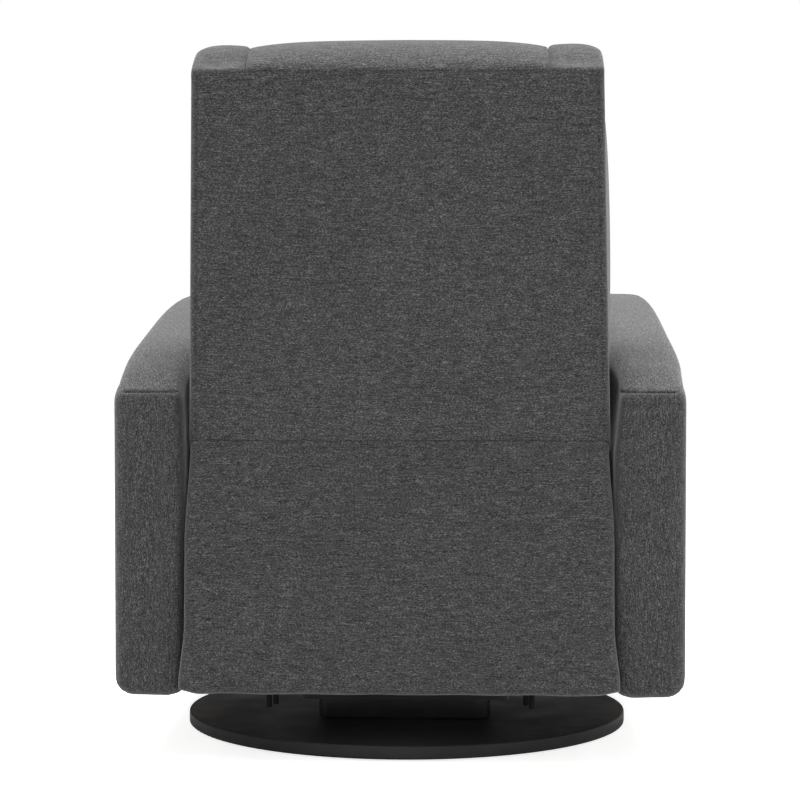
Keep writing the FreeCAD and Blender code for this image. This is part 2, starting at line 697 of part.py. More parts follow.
tube_length = "2 * board_outer"
for tube_name, along in (("front", -1), ("rear", 1)):
    tube_start = f"{along} * tube_y - tube_size / 2"
    outside = box(f"TubeOutside_{tube_name}", (tube_length, "tube_size", "tube_size"), ("-board_outer", tube_start, "tube_z"))
    bore_size = "tube_size - 2 * tube_wall"
    inside = box(
        f"TubeInside_{tube_name}",
        (f"{tube_length} + 2", bore_size, bore_size),
        ("-board_outer - 1", f"{tube_start} + tube_wall", "tube_z + tube_wall"),
    )
    node(cut(f"Tube_{tube_name}", outside, inside), f"cross_tube_{tube_name}")

bolts = []
for side_name, side in SIDES:
    rail_start = f"{side} * rail_x - rail_size / 2"
    bar = box(f"Rail_{side_name}", ("rail_size", "rail_length", "rail_size"), (rail_start, "-rail_length / 2", "rail_z"))
    holes = []
    for number, (along, step) in enumerate(((-1, -1), (-1, 1), (1, -1), (1, 1))):
        at = (f"{side} * rail_x + {side} * {step * along} * 3.5", f"{along} * stop_y + {step} * stop_pitch / 2")
        holes.append(rod(f"StopHole_{side_name}{number}", "stop_diameter / 2", "rail_size + 2", (*at, "rail_z - 1"), "z"))
        shank = rod(
            f"StopShank_{side_name}{number}", "stop_diameter / 2", "rail_size + stop_length", (*at, "rail_z - stop_length"), "z"
        )
        stop_nut = rod(f"StopNut_{side_name}{number}", "stop_diameter * 0.8", "5", (*at, "rail_z - 5"), "z")
        bolts.append(fuse(f"StopBolt_{side_name}{number}", shank, stop_nut))
    node(cut(f"BaseRail_{side_name}", bar, *holes), f"base_rail_{side_name}")
node(group("StopBolts", *bolts), "stop_bolts")


def strap(name, radius, thickness, x, foot, run, rise):
    """A flat bar with round ends, standing in a plane of constant X, from a foot point over a run in Y and a rise in Z."""
    length = f"sqrt(({run})^2 + ({rise})^2)"
    bar = box(name + "_bar", (thickness, length, f"2 * ({radius})"), (x, "0", "0"))
    slope = f"atan2({rise}; {run})"
    bar.Placement = Placement(Vector(0, 0, 0), Rotation(Vector(1, 0, 0), 1))
    bar.setExpression("Placement.Rotation.Angle", ex(slope))
    move(
        bar,
        x,
        f"{foot[0]} + ({radius}) * sin({slope})",
        f"{foot[1]} - ({radius}) * cos({slope})",
    )
    first = rod(name + "_first", radius, thickness, (x, foot[0], foot[1]))
    last = rod(name + "_last", radius, thickness, (x, f"{foot[0]} + {run}", f"{foot[1]} + {rise}"))
    return fuse(name, bar, first, last)


back_foot = ("back_post_foot", "side_bottom + side_rail_height / 2")
for side_name, side in SIDES:
    x = side_start(side, "side_x", "side_thickness")
    lower_bar = box(
        f"SideBar_{side_name}",
        ("side_thickness", "side_front + side_rear", "side_rail_height"),
        (x, "-side_front", "side_bottom"),
    )
    front_post = box(
        f"SidePost_{side_name}",
        ("side_thickness", "side_post_width", "deck_height - side_bottom"),
        (x, "-side_front", "side_bottom"),
    )
    back_post = strap(
        f"BackPost_{side_name}",
        "back_post_width / 2",
        "side_thickness",
        x,
        back_foot,
        "(hinge_y - back_post_foot)",
        "(hinge_z - side_bottom - side_rail_height / 2)",
    )
    through = "side_thickness + 2"
    start = f"{x} - 1"
    openings = [
        rod(f"HingeHole_{side_name}", "hinge_pin_diameter / 2", through, (start, "hinge_y", "hinge_z")),
        rod(
            f"PivotHole_{side_name}",
            "rivet_diameter / 2 + running_clearance",
            through,
            (start, "pivot_y", "pivot_height"),
        ),
    ]
    slot_radius = "roller_diameter / 2 + slot_clearance"
    openings.append(
        box(
            f"SlotMiddle_{side_name}",
            (through, f"2 * ({slot_radius})", "link_drop - open_drop + 4"),
            (start, f"pivot_y - ({slot_radius})", "pivot_height - link_drop - 2"),
        )
    )
    for number, slot_end in enumerate(("pivot_height - link_drop - 2", "pivot_height - open_drop + 2")):
        openings.append(rod(f"SlotEnd_{side_name}{number}", slot_radius, through, (start, "pivot_y", slot_end)))
    for tube_name, along in (("front", -1), ("rear", 1)):
        openings.append(
            box(
                f"TubeOpening_{side_name}_{tube_name}",
                (through, "tube_size", "tube_size"),
                (start, f"{along} * tube_y - tube_size / 2", "tube_z"),
            )
        )
    blank = fuse(f"SideBlank_{side_name}", lower_bar, front_post, back_post)
    node(cut(f"SidePlate_{side_name}", blank, *openings), f"side_plate_{side_name}")

pins = []
for side_name, side in SIDES:
    pin_length = "side_thickness + link_gap + bracket_thickness + 1"
    pin_start = side_start(side, "link_a_x - 1", pin_length)
    shank = rod(f"HingeShank_{side_name}", "hinge_pin_diameter / 2", pin_length, (pin_start, "hinge_y", "hinge_z"))
    head_start = side_start(side, "side_outer", "4")
    head = rod(f"HingeHead_{side_name}", "hinge_pin_diameter * 0.8", "4", (head_start, "hinge_y", "hinge_z"))
    pins.append(fuse(f"HingePin_{side_name}", shank, head))
node(group("HingePins", *pins), "hinge_pins")

# Seat: two rails, a deck board, zigzag springs and the cushion.

rail_span = "2 * side_x"
front_rail = box(
    "FrontRail", (rail_span, "rail_board", "seat_rail_height"), ("-side_x", "-front_rail_y", "deck_top - seat_rail_height")
)
node(front_rail, "seat_front_rail")
rear_rail = box(
    "RearRail", (rail_span, "rear_rail_board", "seat_rail_height"), ("-side_x", "rear_rail_y", "deck_top - seat_rail_height")
)
node(rear_rail, "seat_rear_rail")
deck = box(
    "DeckBoard",
    ("2 * side_outer", "deck_front - front_rail_y", "deck_thickness"),
    ("-side_outer", "-deck_front", "deck_height"),
)
node(deck, "deck_board")
batten = box(
    "PanelBatten",
    (rail_span, "batten_depth", "batten_height"),
    ("-side_x", "panel_inner - batten_depth", "side_bottom + 6"),
)
node(batten, "panel_batten")


def zigzag(x, y_front, y_rear, z, half_width, bends, wire):
    """A zigzag seat spring: straight runs from side to side, joined by half turns."""
    step = (y_rear - y_front) / (bends + 1)
    turn_radius = step / 2
    reach = half_width - turn_radius
    edges = []
    here = Vector(x, y_front, z)
    following = Vector(x, y_front + turn_radius, z)
    edges.append(Part.makeLine(here, following))
    here = following
    heading = 1
    first = Vector(x + heading * reach, here.y, z)
    corner = Part.Arc(
        Vector(x, here.y - turn_radius * 0.5, z),
        Vector(x + turn_radius * 0.146, here.y - turn_radius * 0.146, z),
        Vector(x + turn_radius * 0.5, here.y, z),
    )
    edges = [Part.makeLine(Vector(x, y_front, z), Vector(x, here.y - turn_radius * 0.5, z)), corner.toShape()]
    edges.append(Part.makeLine(Vector(x + turn_radius * 0.5, here.y, z), first))
    here = first
    for number in range(bends):
        across = Vector(here.x, here.y + step, z)
        crest = Vector(here.x + heading * turn_radius, here.y + turn_radius, z)
        edges.append(Part.Arc(here, crest, across).toShape())
        heading = -heading
        if number < bends - 1:
            following = Vector(x + heading * reach, across.y, z)
        else:
            following = Vector(x - heading * turn_radius * 0.5, across.y, z)
        edges.append(Part.makeLine(across, following))
        here = following
    last = Part.Arc(
        here,
        Vector(x - heading * turn_radius * 0.146, here.y + turn_radius * 0.146, z),
        Vector(x, here.y + turn_radius * 0.5, z),
    )
    edges.append(last.toShape())
    edges.append(Part.makeLine(Vector(x, here.y + turn_radius * 0.5, z), Vector(x, y_rear, z)))
    path = Part.Wire(edges)
    profile = Part.Wire([Part.makeCircle(wire / 2, Vector(x, y_front, z), Vector(0, 1, 0))])
    return tube_along(path, profile)


seat_springs = []
for number in range(int(d.seat_spring_count)):
    seat_springs.append(
        zigzag(
            (number - (d.seat_spring_count - 1) / 2) * d.seat_spring_pitch,
            d.rail_board - d.front_rail_y,
            d.rear_rail_y,
            d.deck_top - d.seat_wire * 2,
            d.seat_spring_half_width,
            int(d.seat_spring_bends),
            d.seat_wire,
        )
    )
node(form("SeatSprings", Part.makeCompound(seat_springs)), "seat_springs")


# Soft forms: lofts through closed outlines of lines and arcs.


def outline(start, *steps):
    """A closed outline: each step holds its end point, or a point on the way and its end point for an arc."""
    edges = []
    here = start
    for step in steps:
        if len(step) == 1:
            edges.append(Part.makeLine(here, step[0]))
        else:
            edges.append(Part.Arc(here, step[0], step[1]).toShape())
        here = step[-1]
    return Part.Wire(edges)


def loft(sections):
    solid = Part.makeLoft(sections, True, False)
    if solid.Volume < 0:
        solid.reverse()
    return solid


def arm_outline(x, inset):
    """The arm's side view at one place across its width, drawn in by an inset on every side."""
    front = inset - d.arm_front
    rear = d.arm_rear - inset
    bottom = d.arm_bottom + inset
    corner = d.arm_corner
    nose = d.arm_nose
    top_front = Vector(x, front + nose, d.arm_front_height - inset - d.arm_nose_fall)
    half_way = (d.arm_front_height + d.arm_rear_height) / 2
    top_middle = Vector(x, -d.arm_top_middle, half_way + d.arm_top_swell - inset)
    top_rear = Vector(x, d.arm_round_start, d.arm_rear_height - inset)
    rear_middle = Vector(x, d.arm_round_start + d.arm_rear_reach, d.arm_rear_height - d.arm_rear_fall - inset)
    seam = Vector(x, rear, d.arm_seam_height - inset * 0.4)
    lean = corner * 0.293
    return outline(
        Vector(x, front, bottom + corner),
        (Vector(x, front, d.arm_front_height - inset - nose),),
        (Vector(x, front + nose * 0.27, d.arm_front_height - inset - nose * 0.34), top_front),
        (top_middle, top_rear),
        (rear_middle, seam),
        (Vector(x, rear, bottom + corner),),
        (Vector(x, rear - lean, bottom + lean), Vector(x, rear - corner, bottom)),
        (Vector(x, front + corner, bottom),),
        (Vector(x, front + lean, bottom + lean), Vector(x, front, bottom + corner)),
    )


def arm_form(side):
    edge = d.arm_edge_round
    stations = (
        (d.arm_inner, edge * 0.8),
        (d.arm_inner + edge * 0.55, edge * 0.12),
        (d.arm_inner + d.arm_width / 2, 0),
        (d.arm_outer - edge * 0.7, edge * 0.14),
        (d.arm_outer, edge * 1.1),
    )
    return loft([arm_outline(side * x, inset) for x, inset in stations])


handle_middle = "-handle_y"
cup_bottom = "handle_z - handle_height / 2"


def cable_shape(radius, first_x, last_x):
    """The release cable's route: down inside the arm, a quarter bend, and in towards the side plate."""
    x = -(d.arm_outer - d.handle_depth / 2)
    y = -d.handle_y
    top = d.handle_z - d.handle_height / 2 - first_x
    bend = d.cable_bend
    level = d.cable_height
    lean = bend * (1 - math.sqrt(0.5))
    corner = Part.Arc(
        Vector(x, y, level + bend),
        Vector(x + lean, y, level + lean),
        Vector(x + bend, y, level),
    )
    path = Part.Wire(
        [
            Part.makeLine(Vector(x, y, top), Vector(x, y, level + bend)),
            corner.toShape(),
            Part.makeLine(Vector(x + bend, y, level), Vector(last_x, y, level)),
        ]
    )
    return tube_along(path, Part.Wire([Part.makeCircle(radius, Vector(x, y, top), Vector(0, 0, -1))]))


for side_name, side in SIDES:
    gap = "soft_clearance"
    board_start = side_start(side, "board_x", "board_thickness")
    slot = box(
        f"BoardSlot_{side_name}",
        (
            f"board_thickness + 2 * {gap}",
            f"arm_front + arm_rear - 2 * board_margin + 2 * {gap}",
            f"board_height + {gap} - arm_bottom + 5",
        ),
        (f"{board_start} - {gap}", f"board_margin - arm_front - {gap}", "arm_bottom - 5"),
    )
    tools = [slot]
    board_tools = []
    for tube_name, along in (("front", -1), ("rear", 1)):
        opening_start = side_start(side, "arm_inner - 5", "board_x - arm_inner + 10")
        tools.append(
            box(
                f"ArmTube_{side_name}_{tube_name}",
                ("board_x - arm_inner + 10", f"tube_size + 2 * {gap}", f"tube_size + 2 * {gap}"),
                (opening_start, f"{along} * tube_y - tube_size / 2 - {gap}", f"tube_z - {gap}"),
            )
        )
        board_tools.append(
            box(
                f"BoardTube_{side_name}_{tube_name}",
                ("board_thickness + 2", "tube_size", "tube_size"),
                (f"{board_start} - 1", f"{along} * tube_y - tube_size / 2", "tube_z"),
            )
        )
    if side < 0:
        tools.append(
            box(
                "HandlePocket",
                (f"handle_depth + {gap} + 2", f"handle_length + 2 * {gap}", f"handle_height + 2 * {gap}"),
                ("-arm_outer - 2", f"{handle_middle} - handle_length / 2 - {gap}", f"{cup_bottom} - {gap}"),
            )
        )
        channel = cable_shape(d.cable_diameter / 2 + d.soft_clearance, -1, -d.arm_inner + 5)
        tools.append(form("ArmChannel", channel))
        board_tools.append(form("BoardChannel", channel))
    arm_pad = cut(f"ArmPad_{side_name}", form(f"ArmForm_{side_name}", arm_form(side)), *tools)
    node(arm_pad, f"arm_pad_{side_name}")
    board_blank = box(
        f"BoardBlank_{side_name}",
        ("board_thickness", "arm_front + arm_rear - 2 * board_margin", "board_height - arm_bottom - 2"),
        (board_start, "board_margin - arm_front", "arm_bottom + 2"),
    )
    node(cut(f"ArmBoard_{side_name}", board_blank, *board_tools), f"arm_board_{side_name}")


def cushion_outline(x, crown, draw):
    """The seat cushion's side view: flat below, a rounded nose in front and a crowned top."""
    front = draw - d.cushion_front
    rear = d.cushion_rear - draw * 0.3
    bottom = d.cushion_z
    top = bottom + d.cushion_height - draw * 0.6
    middle = (front + rear) / 2
    return outline(
        Vector(x, rear, bottom),
        (
            Vector(x, rear + d.cushion_fall * 0.6, (bottom + top) / 2),
            Vector(x, rear, top - d.cushion_fall),
        ),
        (
            Vector(x, middle, top + crown),
            Vector(x, front + d.cushion_brow, top - d.cushion_fall * 0.6),
        ),
        (Vector(x, front, bottom + d.cushion_nose), Vector(x, front + d.cushion_tuck, bottom)),
        (Vector(x, rear, bottom),),
    )


half_seat = d.arm_inner - 2 * d.soft_clearance
cushion_sections = []
for share in (-1, -0.9, -0.5, 0, 0.5, 0.9, 1):
    fall = share**4
    crown = d.cushion_crown * (1 - share**2)
    cushion_sections.append(cushion_outline(share * half_seat, crown, d.cushion_draw * fall**2))
node(form("SeatCushion", loft(cushion_sections)), "seat_cushion")


def tapered_prism(half_low, half_high, low, high, front, rear):
    """An upright prism whose width changes evenly with height."""
    corners = [
        Vector(-half_low, front, low),
        Vector(half_low, front, low),
        Vector(half_high, front, high),
        Vector(-half_high, front, high),
        Vector(-half_low, front, low),
    ]
    return Part.Face(Part.makePolygon(corners)).extrude(Vector(0, rear - front, 0))


def panel_form():
    """The rear panel between the arms: its top is hollowed to clear the curled back shell, upright and reclined."""
    half = d.arm_inner - d.soft_clearance
    slope = (d.panel_head - d.panel_foot) / (d.panel_top - d.panel_bottom)
    hem = d.panel_hem
    low = d.panel_bottom + hem
    middle_z = (low + d.panel_top) / 2
    middle_y = d.panel_foot + slope * (middle_z - d.panel_bottom)
    sections = []
    for share in (-1, -0.85, 0, 0.85, 1):
        swell = d.panel_fullness * (1.2 - share**4)
        x = share * half
        sections.append(
            outline(
                Vector(x, d.panel_inner, d.panel_bottom),
                (Vector(x, d.panel_foot - hem * 0.86, d.panel_bottom),),
                (
                    Vector(x, d.panel_foot - hem * 0.29, d.panel_bottom + hem * 0.29),
                    Vector(x, d.panel_foot + slope * hem, low),
                ),
                (Vector(x, middle_y + swell, middle_z), Vector(x, d.panel_head, d.panel_top)),
                (Vector(x, d.panel_inner, d.panel_top),),
                (Vector(x, d.panel_inner, d.panel_bottom),),
            )
        )
    slab = loft(sections)
    trim = tapered_prism(
        half,
        half - d.panel_sweep,
        d.panel_bottom - 1,
        d.panel_top + 1,
        d.panel_inner - 1,
        d.panel_foot + 4 * d.panel_fullness,
    )
    reach = d.roll_radius + d.roll_gap
    bore = Part.makeCylinder(reach, 2 * half + 2, Vector(-half - 1, d.hinge_y, d.hinge_z), Vector(1, 0, 0))
    reclined_back = Part.makeBox(2 * half + 2, reach, 2 * reach, Vector(-half - 1, 0, 0))
    reclined_back.Placement = Placement(
        Vector(0, d.hinge_y, d.hinge_z), Rotation(Vector(1, 0, 0), -d.back_lean - d.recline_angle)
    ).multiply(reclined_back.Placement)
    return slab.common(trim).cut([bore, reclined_back])


node(form("RearPanel", panel_form()), "rear_panel")

# Backrest, drawn upright with the hinge axis as its origin and then leaned back about that axis: y is towards the rear
# and z is up along the back.


def lean_back(piece):
    turn(piece, Vector(1, 0, 0), "-back_lean")
    return move(piece, "0", "hinge_y", "hinge_z")


def lean_form(name, shape):
    """A form drawn upright about the hinge axis, placed on the leaning backrest."""
    piece = form(name, shape)
    piece.Placement = Placement(
        Vector(0, d.hinge_y, d.hinge_z), Rotation(Vector(1, 0, 0), -d.back_lean)
    )
    return piece


def half_back(z):
    """Half the backrest's width at a height above the hinge axis."""
    narrowing = (d.back_bottom_width - d.back_top_width) / 2
    return d.back_bottom_width / 2 - narrowing * z / d.shell_height


def shell_form():
    """The rear shell: a flat slab whose lower end curls under the hinge axis."""
    outer = d.roll_radius
    inner = outer - d.shell_thickness
    top = d.shell_height - d.soft_clearance
    end = math.radians(d.roll_angle)
    half = d.back_bottom_width / 2

    def on_roll(radius, angle):
        return Vector(-half, radius * math.cos(angle), -radius * math.sin(angle))

    edge = outline(
        Vector(-half, outer, top),
        (Vector(-half, outer, 0),),
        (on_roll(outer, end / 2), on_roll(outer, end)),
        (on_roll(inner, end),),
        (on_roll(inner, end / 2), Vector(-half, inner, 0)),
        (Vector(-half, inner, top),),
        (Vector(-half, outer, top),),
    )
    slab = Part.Face(edge).extrude(Vector(2 * half, 0, 0))
    foot = -outer
    head = d.shell_height + 1
    trim = tapered_prism(half_back(foot), half_back(head), foot, head, -outer, outer + 1)
    start = d.stile_outer + d.bracket_thickness + d.return_gap
    height = top - d.return_foot
    returns = [
        Part.makeBox(half - start, d.frame_depth + 1, height, Vector(x, d.frame_front, d.return_foot))
        for x in (start, -half)
    ]
    return slab.fuse(returns).removeSplitter().common(trim)


node(lean_form("BackShell", shell_form()), "back_shell")

back_board = box(
    "BackBoard",
    ("2 * stile_outer", "frame_depth", "shell_height - 10.6"),
    ("-stile_outer", "frame_front", "10"),
)
turned_board = group("BackBoardPlaced", back_board)
node(lean_back(turned_board), "back_board")

for side_name, side in SIDES:
    x = side_start(side, "link_a_x", "bracket_thickness")
    eye = rod(f"BracketEye_{side_name}", "back_post_width / 2", "bracket_thickness", (x, "0", "0"))
    foot = box(
        f"BracketFoot_{side_name}",
        ("bracket_thickness", "frame_front + frame_depth", "back_post_width / 2"),
        (x, "0", "0"),
    )
    leg = box(
        f"BracketLeg_{side_name}",
        ("bracket_thickness", "frame_depth", "bracket_length"),
        (x, "frame_front", "0"),
    )
    hole = rod(
        f"BracketHole_{side_name}",
        "hinge_pin_diameter / 2 + running_clearance",
        "bracket_thickness + 2",
        (f"{x} - 1", "0", "0"),
    )
    bracket = cut(f"Bracket_{side_name}", fuse(f"BracketBlank_{side_name}", eye, foot, leg), hole)
    node(lean_back(bracket), f"back_bracket_{side_name}")


def back_outline(x_at, pull, fall, back_foot_z, front_foot_z):
    """The backrest cushion's side view: lumbar swell, head rest, and a crest that rolls over to the rear seam."""
    face = pull - d.back_depth
    rest = d.frame_front - d.soft_clearance
    crest = d.shell_height + d.crest_rise - fall

    def at(y, z):
        return Vector(x_at(z), y, z)

    seam = d.shell_height
    return outline(
        at(rest, back_foot_z),
        (at(face + d.back_tuck, front_foot_z),),
        (at(face - d.lumbar_swell, d.shell_height * 0.3), at(face + d.back_tuck / 3, d.shell_height * 0.62)),
        (at(face - d.lumbar_swell / 5, d.shell_height * 0.84), at(face * 0.72, crest - d.crest_brow)),
        (at(face * 0.12, crest), at(d.roll_radius - 1, seam)),
        (at(rest, seam),),
        (at(rest, back_foot_z),),
    )


def centre_cushion():
    sections = []
    for share in (-1, -0.86, -0.45, 0, 0.45, 0.86, 1):
        x = share * (d.centre_width / 2 - d.soft_clearance)
        pull = d.bolster_notch * (0.5 * share**2 + 2.2 * share**8)
        fall = d.bolster_notch * (0.2 * share**2 + 0.8 * share**8)
        sections.append(back_outline(lambda z, x=x: x, pull, fall, 4, -25))
    return loft(sections)


def bolster(side):
    """A side bolster: it stands ahead of the centre cushion, and its outer face follows the backrest's taper."""
    inner = d.centre_width / 2 + d.soft_clearance
    sections = []
    stations = (
        (0, d.bolster_notch, d.bolster_notch),
        (0.25, d.bolster_notch / 2 - d.bolster_swell, d.bolster_notch / 3),
        (0.7, -d.bolster_swell, d.bolster_notch / 3),
        (1, d.bolster_corner * 0.6, d.bolster_corner),
    )
    for share, pull, fall in stations:

        def x_at(z, share=share):
            return side * (inner + share * (half_back(z) - inner))

        sections.append(back_outline(x_at, pull, fall, 28, -12))
    return loft(sections)


node(lean_form("BackCushion", centre_cushion()), "back_cushion")
for side_name, side in SIDES:
    node(lean_form(f"Bolster_{side_name}", bolster(side)), f"back_bolster_{side_name}")

# Footrest: a two-plane scissor on each side. Drive links and footrest links lie in one plane, cross links and support
# links in the next, and all four pivots of a side stay in line with the roller in the side plate's slot.

top_pivot = ("pivot_y", "pivot_height")
slide_pivot = ("pivot_y", "pivot_height - link_drop")
cross_pivot = ("pivot_y - link_run / 2", "pivot_height - link_drop / 2")
drive_end = ("pivot_y - link_run", "pivot_height - link_drop")
cross_end = ("pivot_y - link_run", "pivot_height")
support_end = ("pivot_y - 1.5 * link_run", "pivot_height - link_drop / 2")


def link(name, x, foot, run, rise, fixed_holes, running_holes, *extra):
    """A flat link with round ends: rivets are tight in its fixed holes and turn in its running holes."""
    blank = strap(name + "_strap", "link_width / 2", "bracket_thickness", x, foot, run, rise)
    if extra:
        blank = fuse(name + "_blank", blank, *extra)
    holes = []
    for number, at in enumerate(fixed_holes):
        holes.append(rod(f"{name}_fixed{number}", "rivet_diameter / 2", "bracket_thickness + 2", (f"{x} - 1", *at)))
    for number, at in enumerate(running_holes):
        radius = "rivet_diameter / 2 + running_clearance"
        holes.append(rod(f"{name}_running{number}", radius, "bracket_thickness + 2", (f"{x} - 1", *at)))
    return cut(name, blank, *holes)


def rivet(name, side, at):
    """A rivet from the inner plane's face to the outer plane's face, with a head inside."""
    shank_length = "link_a_x + bracket_thickness - link_b_x + soft_clearance"
    shank_start = side_start(side, "link_b_x - soft_clearance", shank_length)
    shank = rod(name + "_shank", "rivet_diameter / 2", shank_length, (shank_start, *at))
    head_start = side_start(side, "link_b_x - soft_clearance - rivet_head_height", "rivet_head_height")
    head = rod(name + "_head", "rivet_head / 2", "rivet_head_height", (head_start, *at))
    return fuse(name, shank, head)


drive_rivets = []
footrest_rivets = []
rollers = []
for side_name, side in SIDES:
    outer_plane = side_start(side, "link_a_x", "bracket_thickness")
    inner_plane = side_start(side, "link_b_x", "bracket_thickness")
    drive_link = link(
        f"DriveLink_{side_name}",
        outer_plane,
        top_pivot,
        "-link_run",
        "-link_drop",
        (top_pivot, cross_pivot, drive_end),
        (),
    )
    node(drive_link, f"drive_link_{side_name}")
    drive_rivets.append(rivet(f"CrossRivet_{side_name}", side, cross_pivot))
    drive_rivets.append(rivet(f"EndRivet_{side_name}", side, drive_end))

    cross_link = link(
        f"CrossLink_{side_name}",
        inner_plane,
        slide_pivot,
        "-link_run",
        "link_drop",
        (slide_pivot,),
        (cross_pivot, cross_end),
    )
    node(cross_link, f"cross_link_{side_name}")
    pin_length = "side_outer - link_b_x"
    pin_start = side_start(side, "link_b_x", pin_length)
    roller_pin = rod(f"RollerPin_{side_name}", "rivet_diameter / 2", pin_length, (pin_start, *slide_pivot))
    roller_start = side_start(side, "side_x + 0.2", "side_thickness - 0.2")
    roller = rod(f"Roller_{side_name}", "roller_diameter / 2", "side_thickness - 0.2", (roller_start, *slide_pivot))
    rollers.append(fuse(f"SlideRoller_{side_name}", roller_pin, roller))

    gusset = box(
        f"Gusset_{side_name}",
        ("bracket_thickness", "board_stand_off - link_width / 4", "link_drop * 0.4"),
        (outer_plane, "-board_rear", "pivot_height - link_drop * 0.72"),
    )
    flange_start = side_start(side, "link_a_x + bracket_thickness - flange_width", "flange_width")
    flange = box(
        f"Flange_{side_name}",
        ("flange_width", "3", "link_drop * 0.7"),
        (flange_start, "-board_rear", "pivot_height - link_drop * 0.85"),
    )
    footrest_link = link(
        f"FootrestLink_{side_name}",
        outer_plane,
        cross_end,
        "-link_run",
        "-link_drop",
        (cross_end, support_end),
        (),
        gusset,
        flange,
    )
    node(footrest_link, f"footrest_link_{side_name}")
    footrest_rivets.append(rivet(f"UpperRivet_{side_name}", side, cross_end))
    footrest_rivets.append(rivet(f"SupportRivet_{side_name}", side, support_end))

    support_link = link(
        f"SupportLink_{side_name}",
        inner_plane,
        drive_end,
        "-link_run / 2",
        "link_drop / 2",
        (),
        (drive_end, support_end),
    )
    node(support_link, f"support_link_{side_name}")
node(group("DriveRivets", *drive_rivets), "drive_rivets")
node(group("FootrestRivets", *footrest_rivets), "footrest_rivets")
node(group("SlideRollers", *rollers), "slide_rollers")

middle_tube = rod("TorqueMiddle", "torque_tube_diameter / 2", "2 * link_a_x", ("-link_a_x", *top_pivot))
stub_reach = "(side_outer + 2)"
stubs = rod("TorqueStubs", "rivet_diameter / 2", f"2 * {stub_reach}", (f"-{stub_reach}", *top_pivot))
node(fuse("TorqueTube", middle_tube, stubs), "torque_tube")

footrest_board = box(
    "FootrestBoard",
    (
        "footrest_width - 2 * footrest_board_margin",
        "footrest_board_thickness",
        "footrest_top - footrest_bottom - 2 * footrest_board_margin",
    ),
    (
        "footrest_board_margin - footrest_width / 2",
        "-board_rear - footrest_board_thickness",
        "footrest_bottom + footrest_board_margin",
    ),
)
node(footrest_board, "footrest_board")


def footrest_outline(x, draw, crown):
    """The footrest pad's side view: flat against its board, with rounded ends and a crowned front."""
    rear = -d.board_rear - d.footrest_board_thickness
    front = draw - d.arm_front
    low = d.footrest_bottom + draw * 0.5
    high = d.footrest_top - draw * 0.5
    shoulder = 16
    return outline(
        Vector(x, rear, low + 3),
        (Vector(x, rear, high - 3),),
        (Vector(x, (rear + front) / 2 - 4, high), Vector(x, front + crown, high - shoulder)),
        (Vector(x, front, (low + high) / 2), Vector(x, front + crown, low + shoulder)),
        (Vector(x, (rear + front) / 2 - 4, low), Vector(x, rear, low + 3)),
    )


footrest_sections = []
for share in (-1, -0.95, -0.85, -0.5, 0, 0.5, 0.85, 0.95, 1):
    draw = 2 * share**2 + 14 * share**12
    footrest_sections.append(footrest_outline(share * d.footrest_width / 2, draw, d.footrest_crown))
node(form("FootrestPad", loft(footrest_sections)), "footrest_pad")

# Release handle in the sitter's right arm: a cup with a rim, a sprung paddle on a pin, and the cable to the mechanism.

cup_outside = box(
    "CupOutside",
    ("handle_depth", "handle_length", "handle_height"),
    ("-arm_outer", f"{handle_middle} - handle_length / 2", cup_bottom),
)
rim = box(
    "CupRim",
    ("bezel_thickness", "handle_length + 2 * bezel_lip", "handle_height + 2 * bezel_lip"),
    ("-arm_outer - bezel_thickness", f"{handle_middle} - handle_length / 2 - bezel_lip", f"{cup_bottom} - bezel_lip"),
)
cup_hollow = box(
    "CupHollow",
    ("handle_depth + bezel_thickness", "handle_length - 2 * handle_wall", "handle_height - 2 * handle_wall"),
    (
        "-arm_outer - bezel_thickness - handle_wall",
        f"{handle_middle} - handle_length / 2 + handle_wall",
        f"{cup_bottom} + handle_wall",
    ),
)
handle_axis = ("-(arm_outer - handle_pin_diameter - 2)", "handle_z + handle_height / 2 - handle_wall - handle_pin_diameter - 2.5")
pin_hole = rod(
    "CupPinHole",
    "handle_pin_diameter / 2",
    "handle_length + 2",
    (handle_axis[0], f"{handle_middle} - handle_length / 2 - 1", handle_axis[1]),
    "y",
)
node(cut("HandleBezel", fuse("CupBlank", cup_outside, rim), cup_hollow, pin_hole), "handle_bezel")

paddle_length = "(handle_length - 2 * handle_wall - 2 * paddle_gap)"
paddle_start = f"{handle_middle} - {paddle_length} / 2"
paddle_leaf = box(
    "PaddleLeaf",
    ("paddle_thickness", paddle_length, "handle_height * 0.62"),
    (f"{handle_axis[0]} - paddle_thickness / 2", paddle_start, f"{handle_axis[1]} - handle_height * 0.62"),
)
paddle_barrel = rod("PaddleBarrel", "handle_pin_diameter", paddle_length, (handle_axis[0], paddle_start, handle_axis[1]), "y")
paddle_hole = rod(
    "PaddleHole",
    "handle_pin_diameter / 2 + running_clearance",
    f"{paddle_length} + 2",
    (handle_axis[0], f"{paddle_start} - 1", handle_axis[1]),
    "y",
)
node(cut("HandlePaddle", fuse("PaddleBlank", paddle_leaf, paddle_barrel), paddle_hole), "handle_paddle")
handle_pin = rod(
    "HandlePin",
    "handle_pin_diameter / 2",
    "handle_length",
    (handle_axis[0], f"{handle_middle} - handle_length / 2", handle_axis[1]),
    "y",
)
node(handle_pin, "handle_pin")
cable = cable_shape(d.cable_diameter / 2, 0, -d.side_outer)
node(form("ReleaseCable", cable), "release_cable")

# Checks, then one STEP file for each sub-part.

doc.recompute()
for item in doc.Objects:
    if "Invalid" in item.State or "Error" in item.State:
        raise RuntimeError(f"{item.Label} did not recompute: {item.State}")
for item in NODES:
    if item.Shape.isNull() or not item.Shape.isValid():
        raise RuntimeError(f"{item.Label} has no valid shape")
os.makedirs("parts", exist_ok=True)
for item in NODES:
    item.Shape.exportStep(f"parts/{item.Label}.step")
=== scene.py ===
"""Swivel rocker recliner dressed in charcoal heather fabric, seen from behind in a pale studio."""

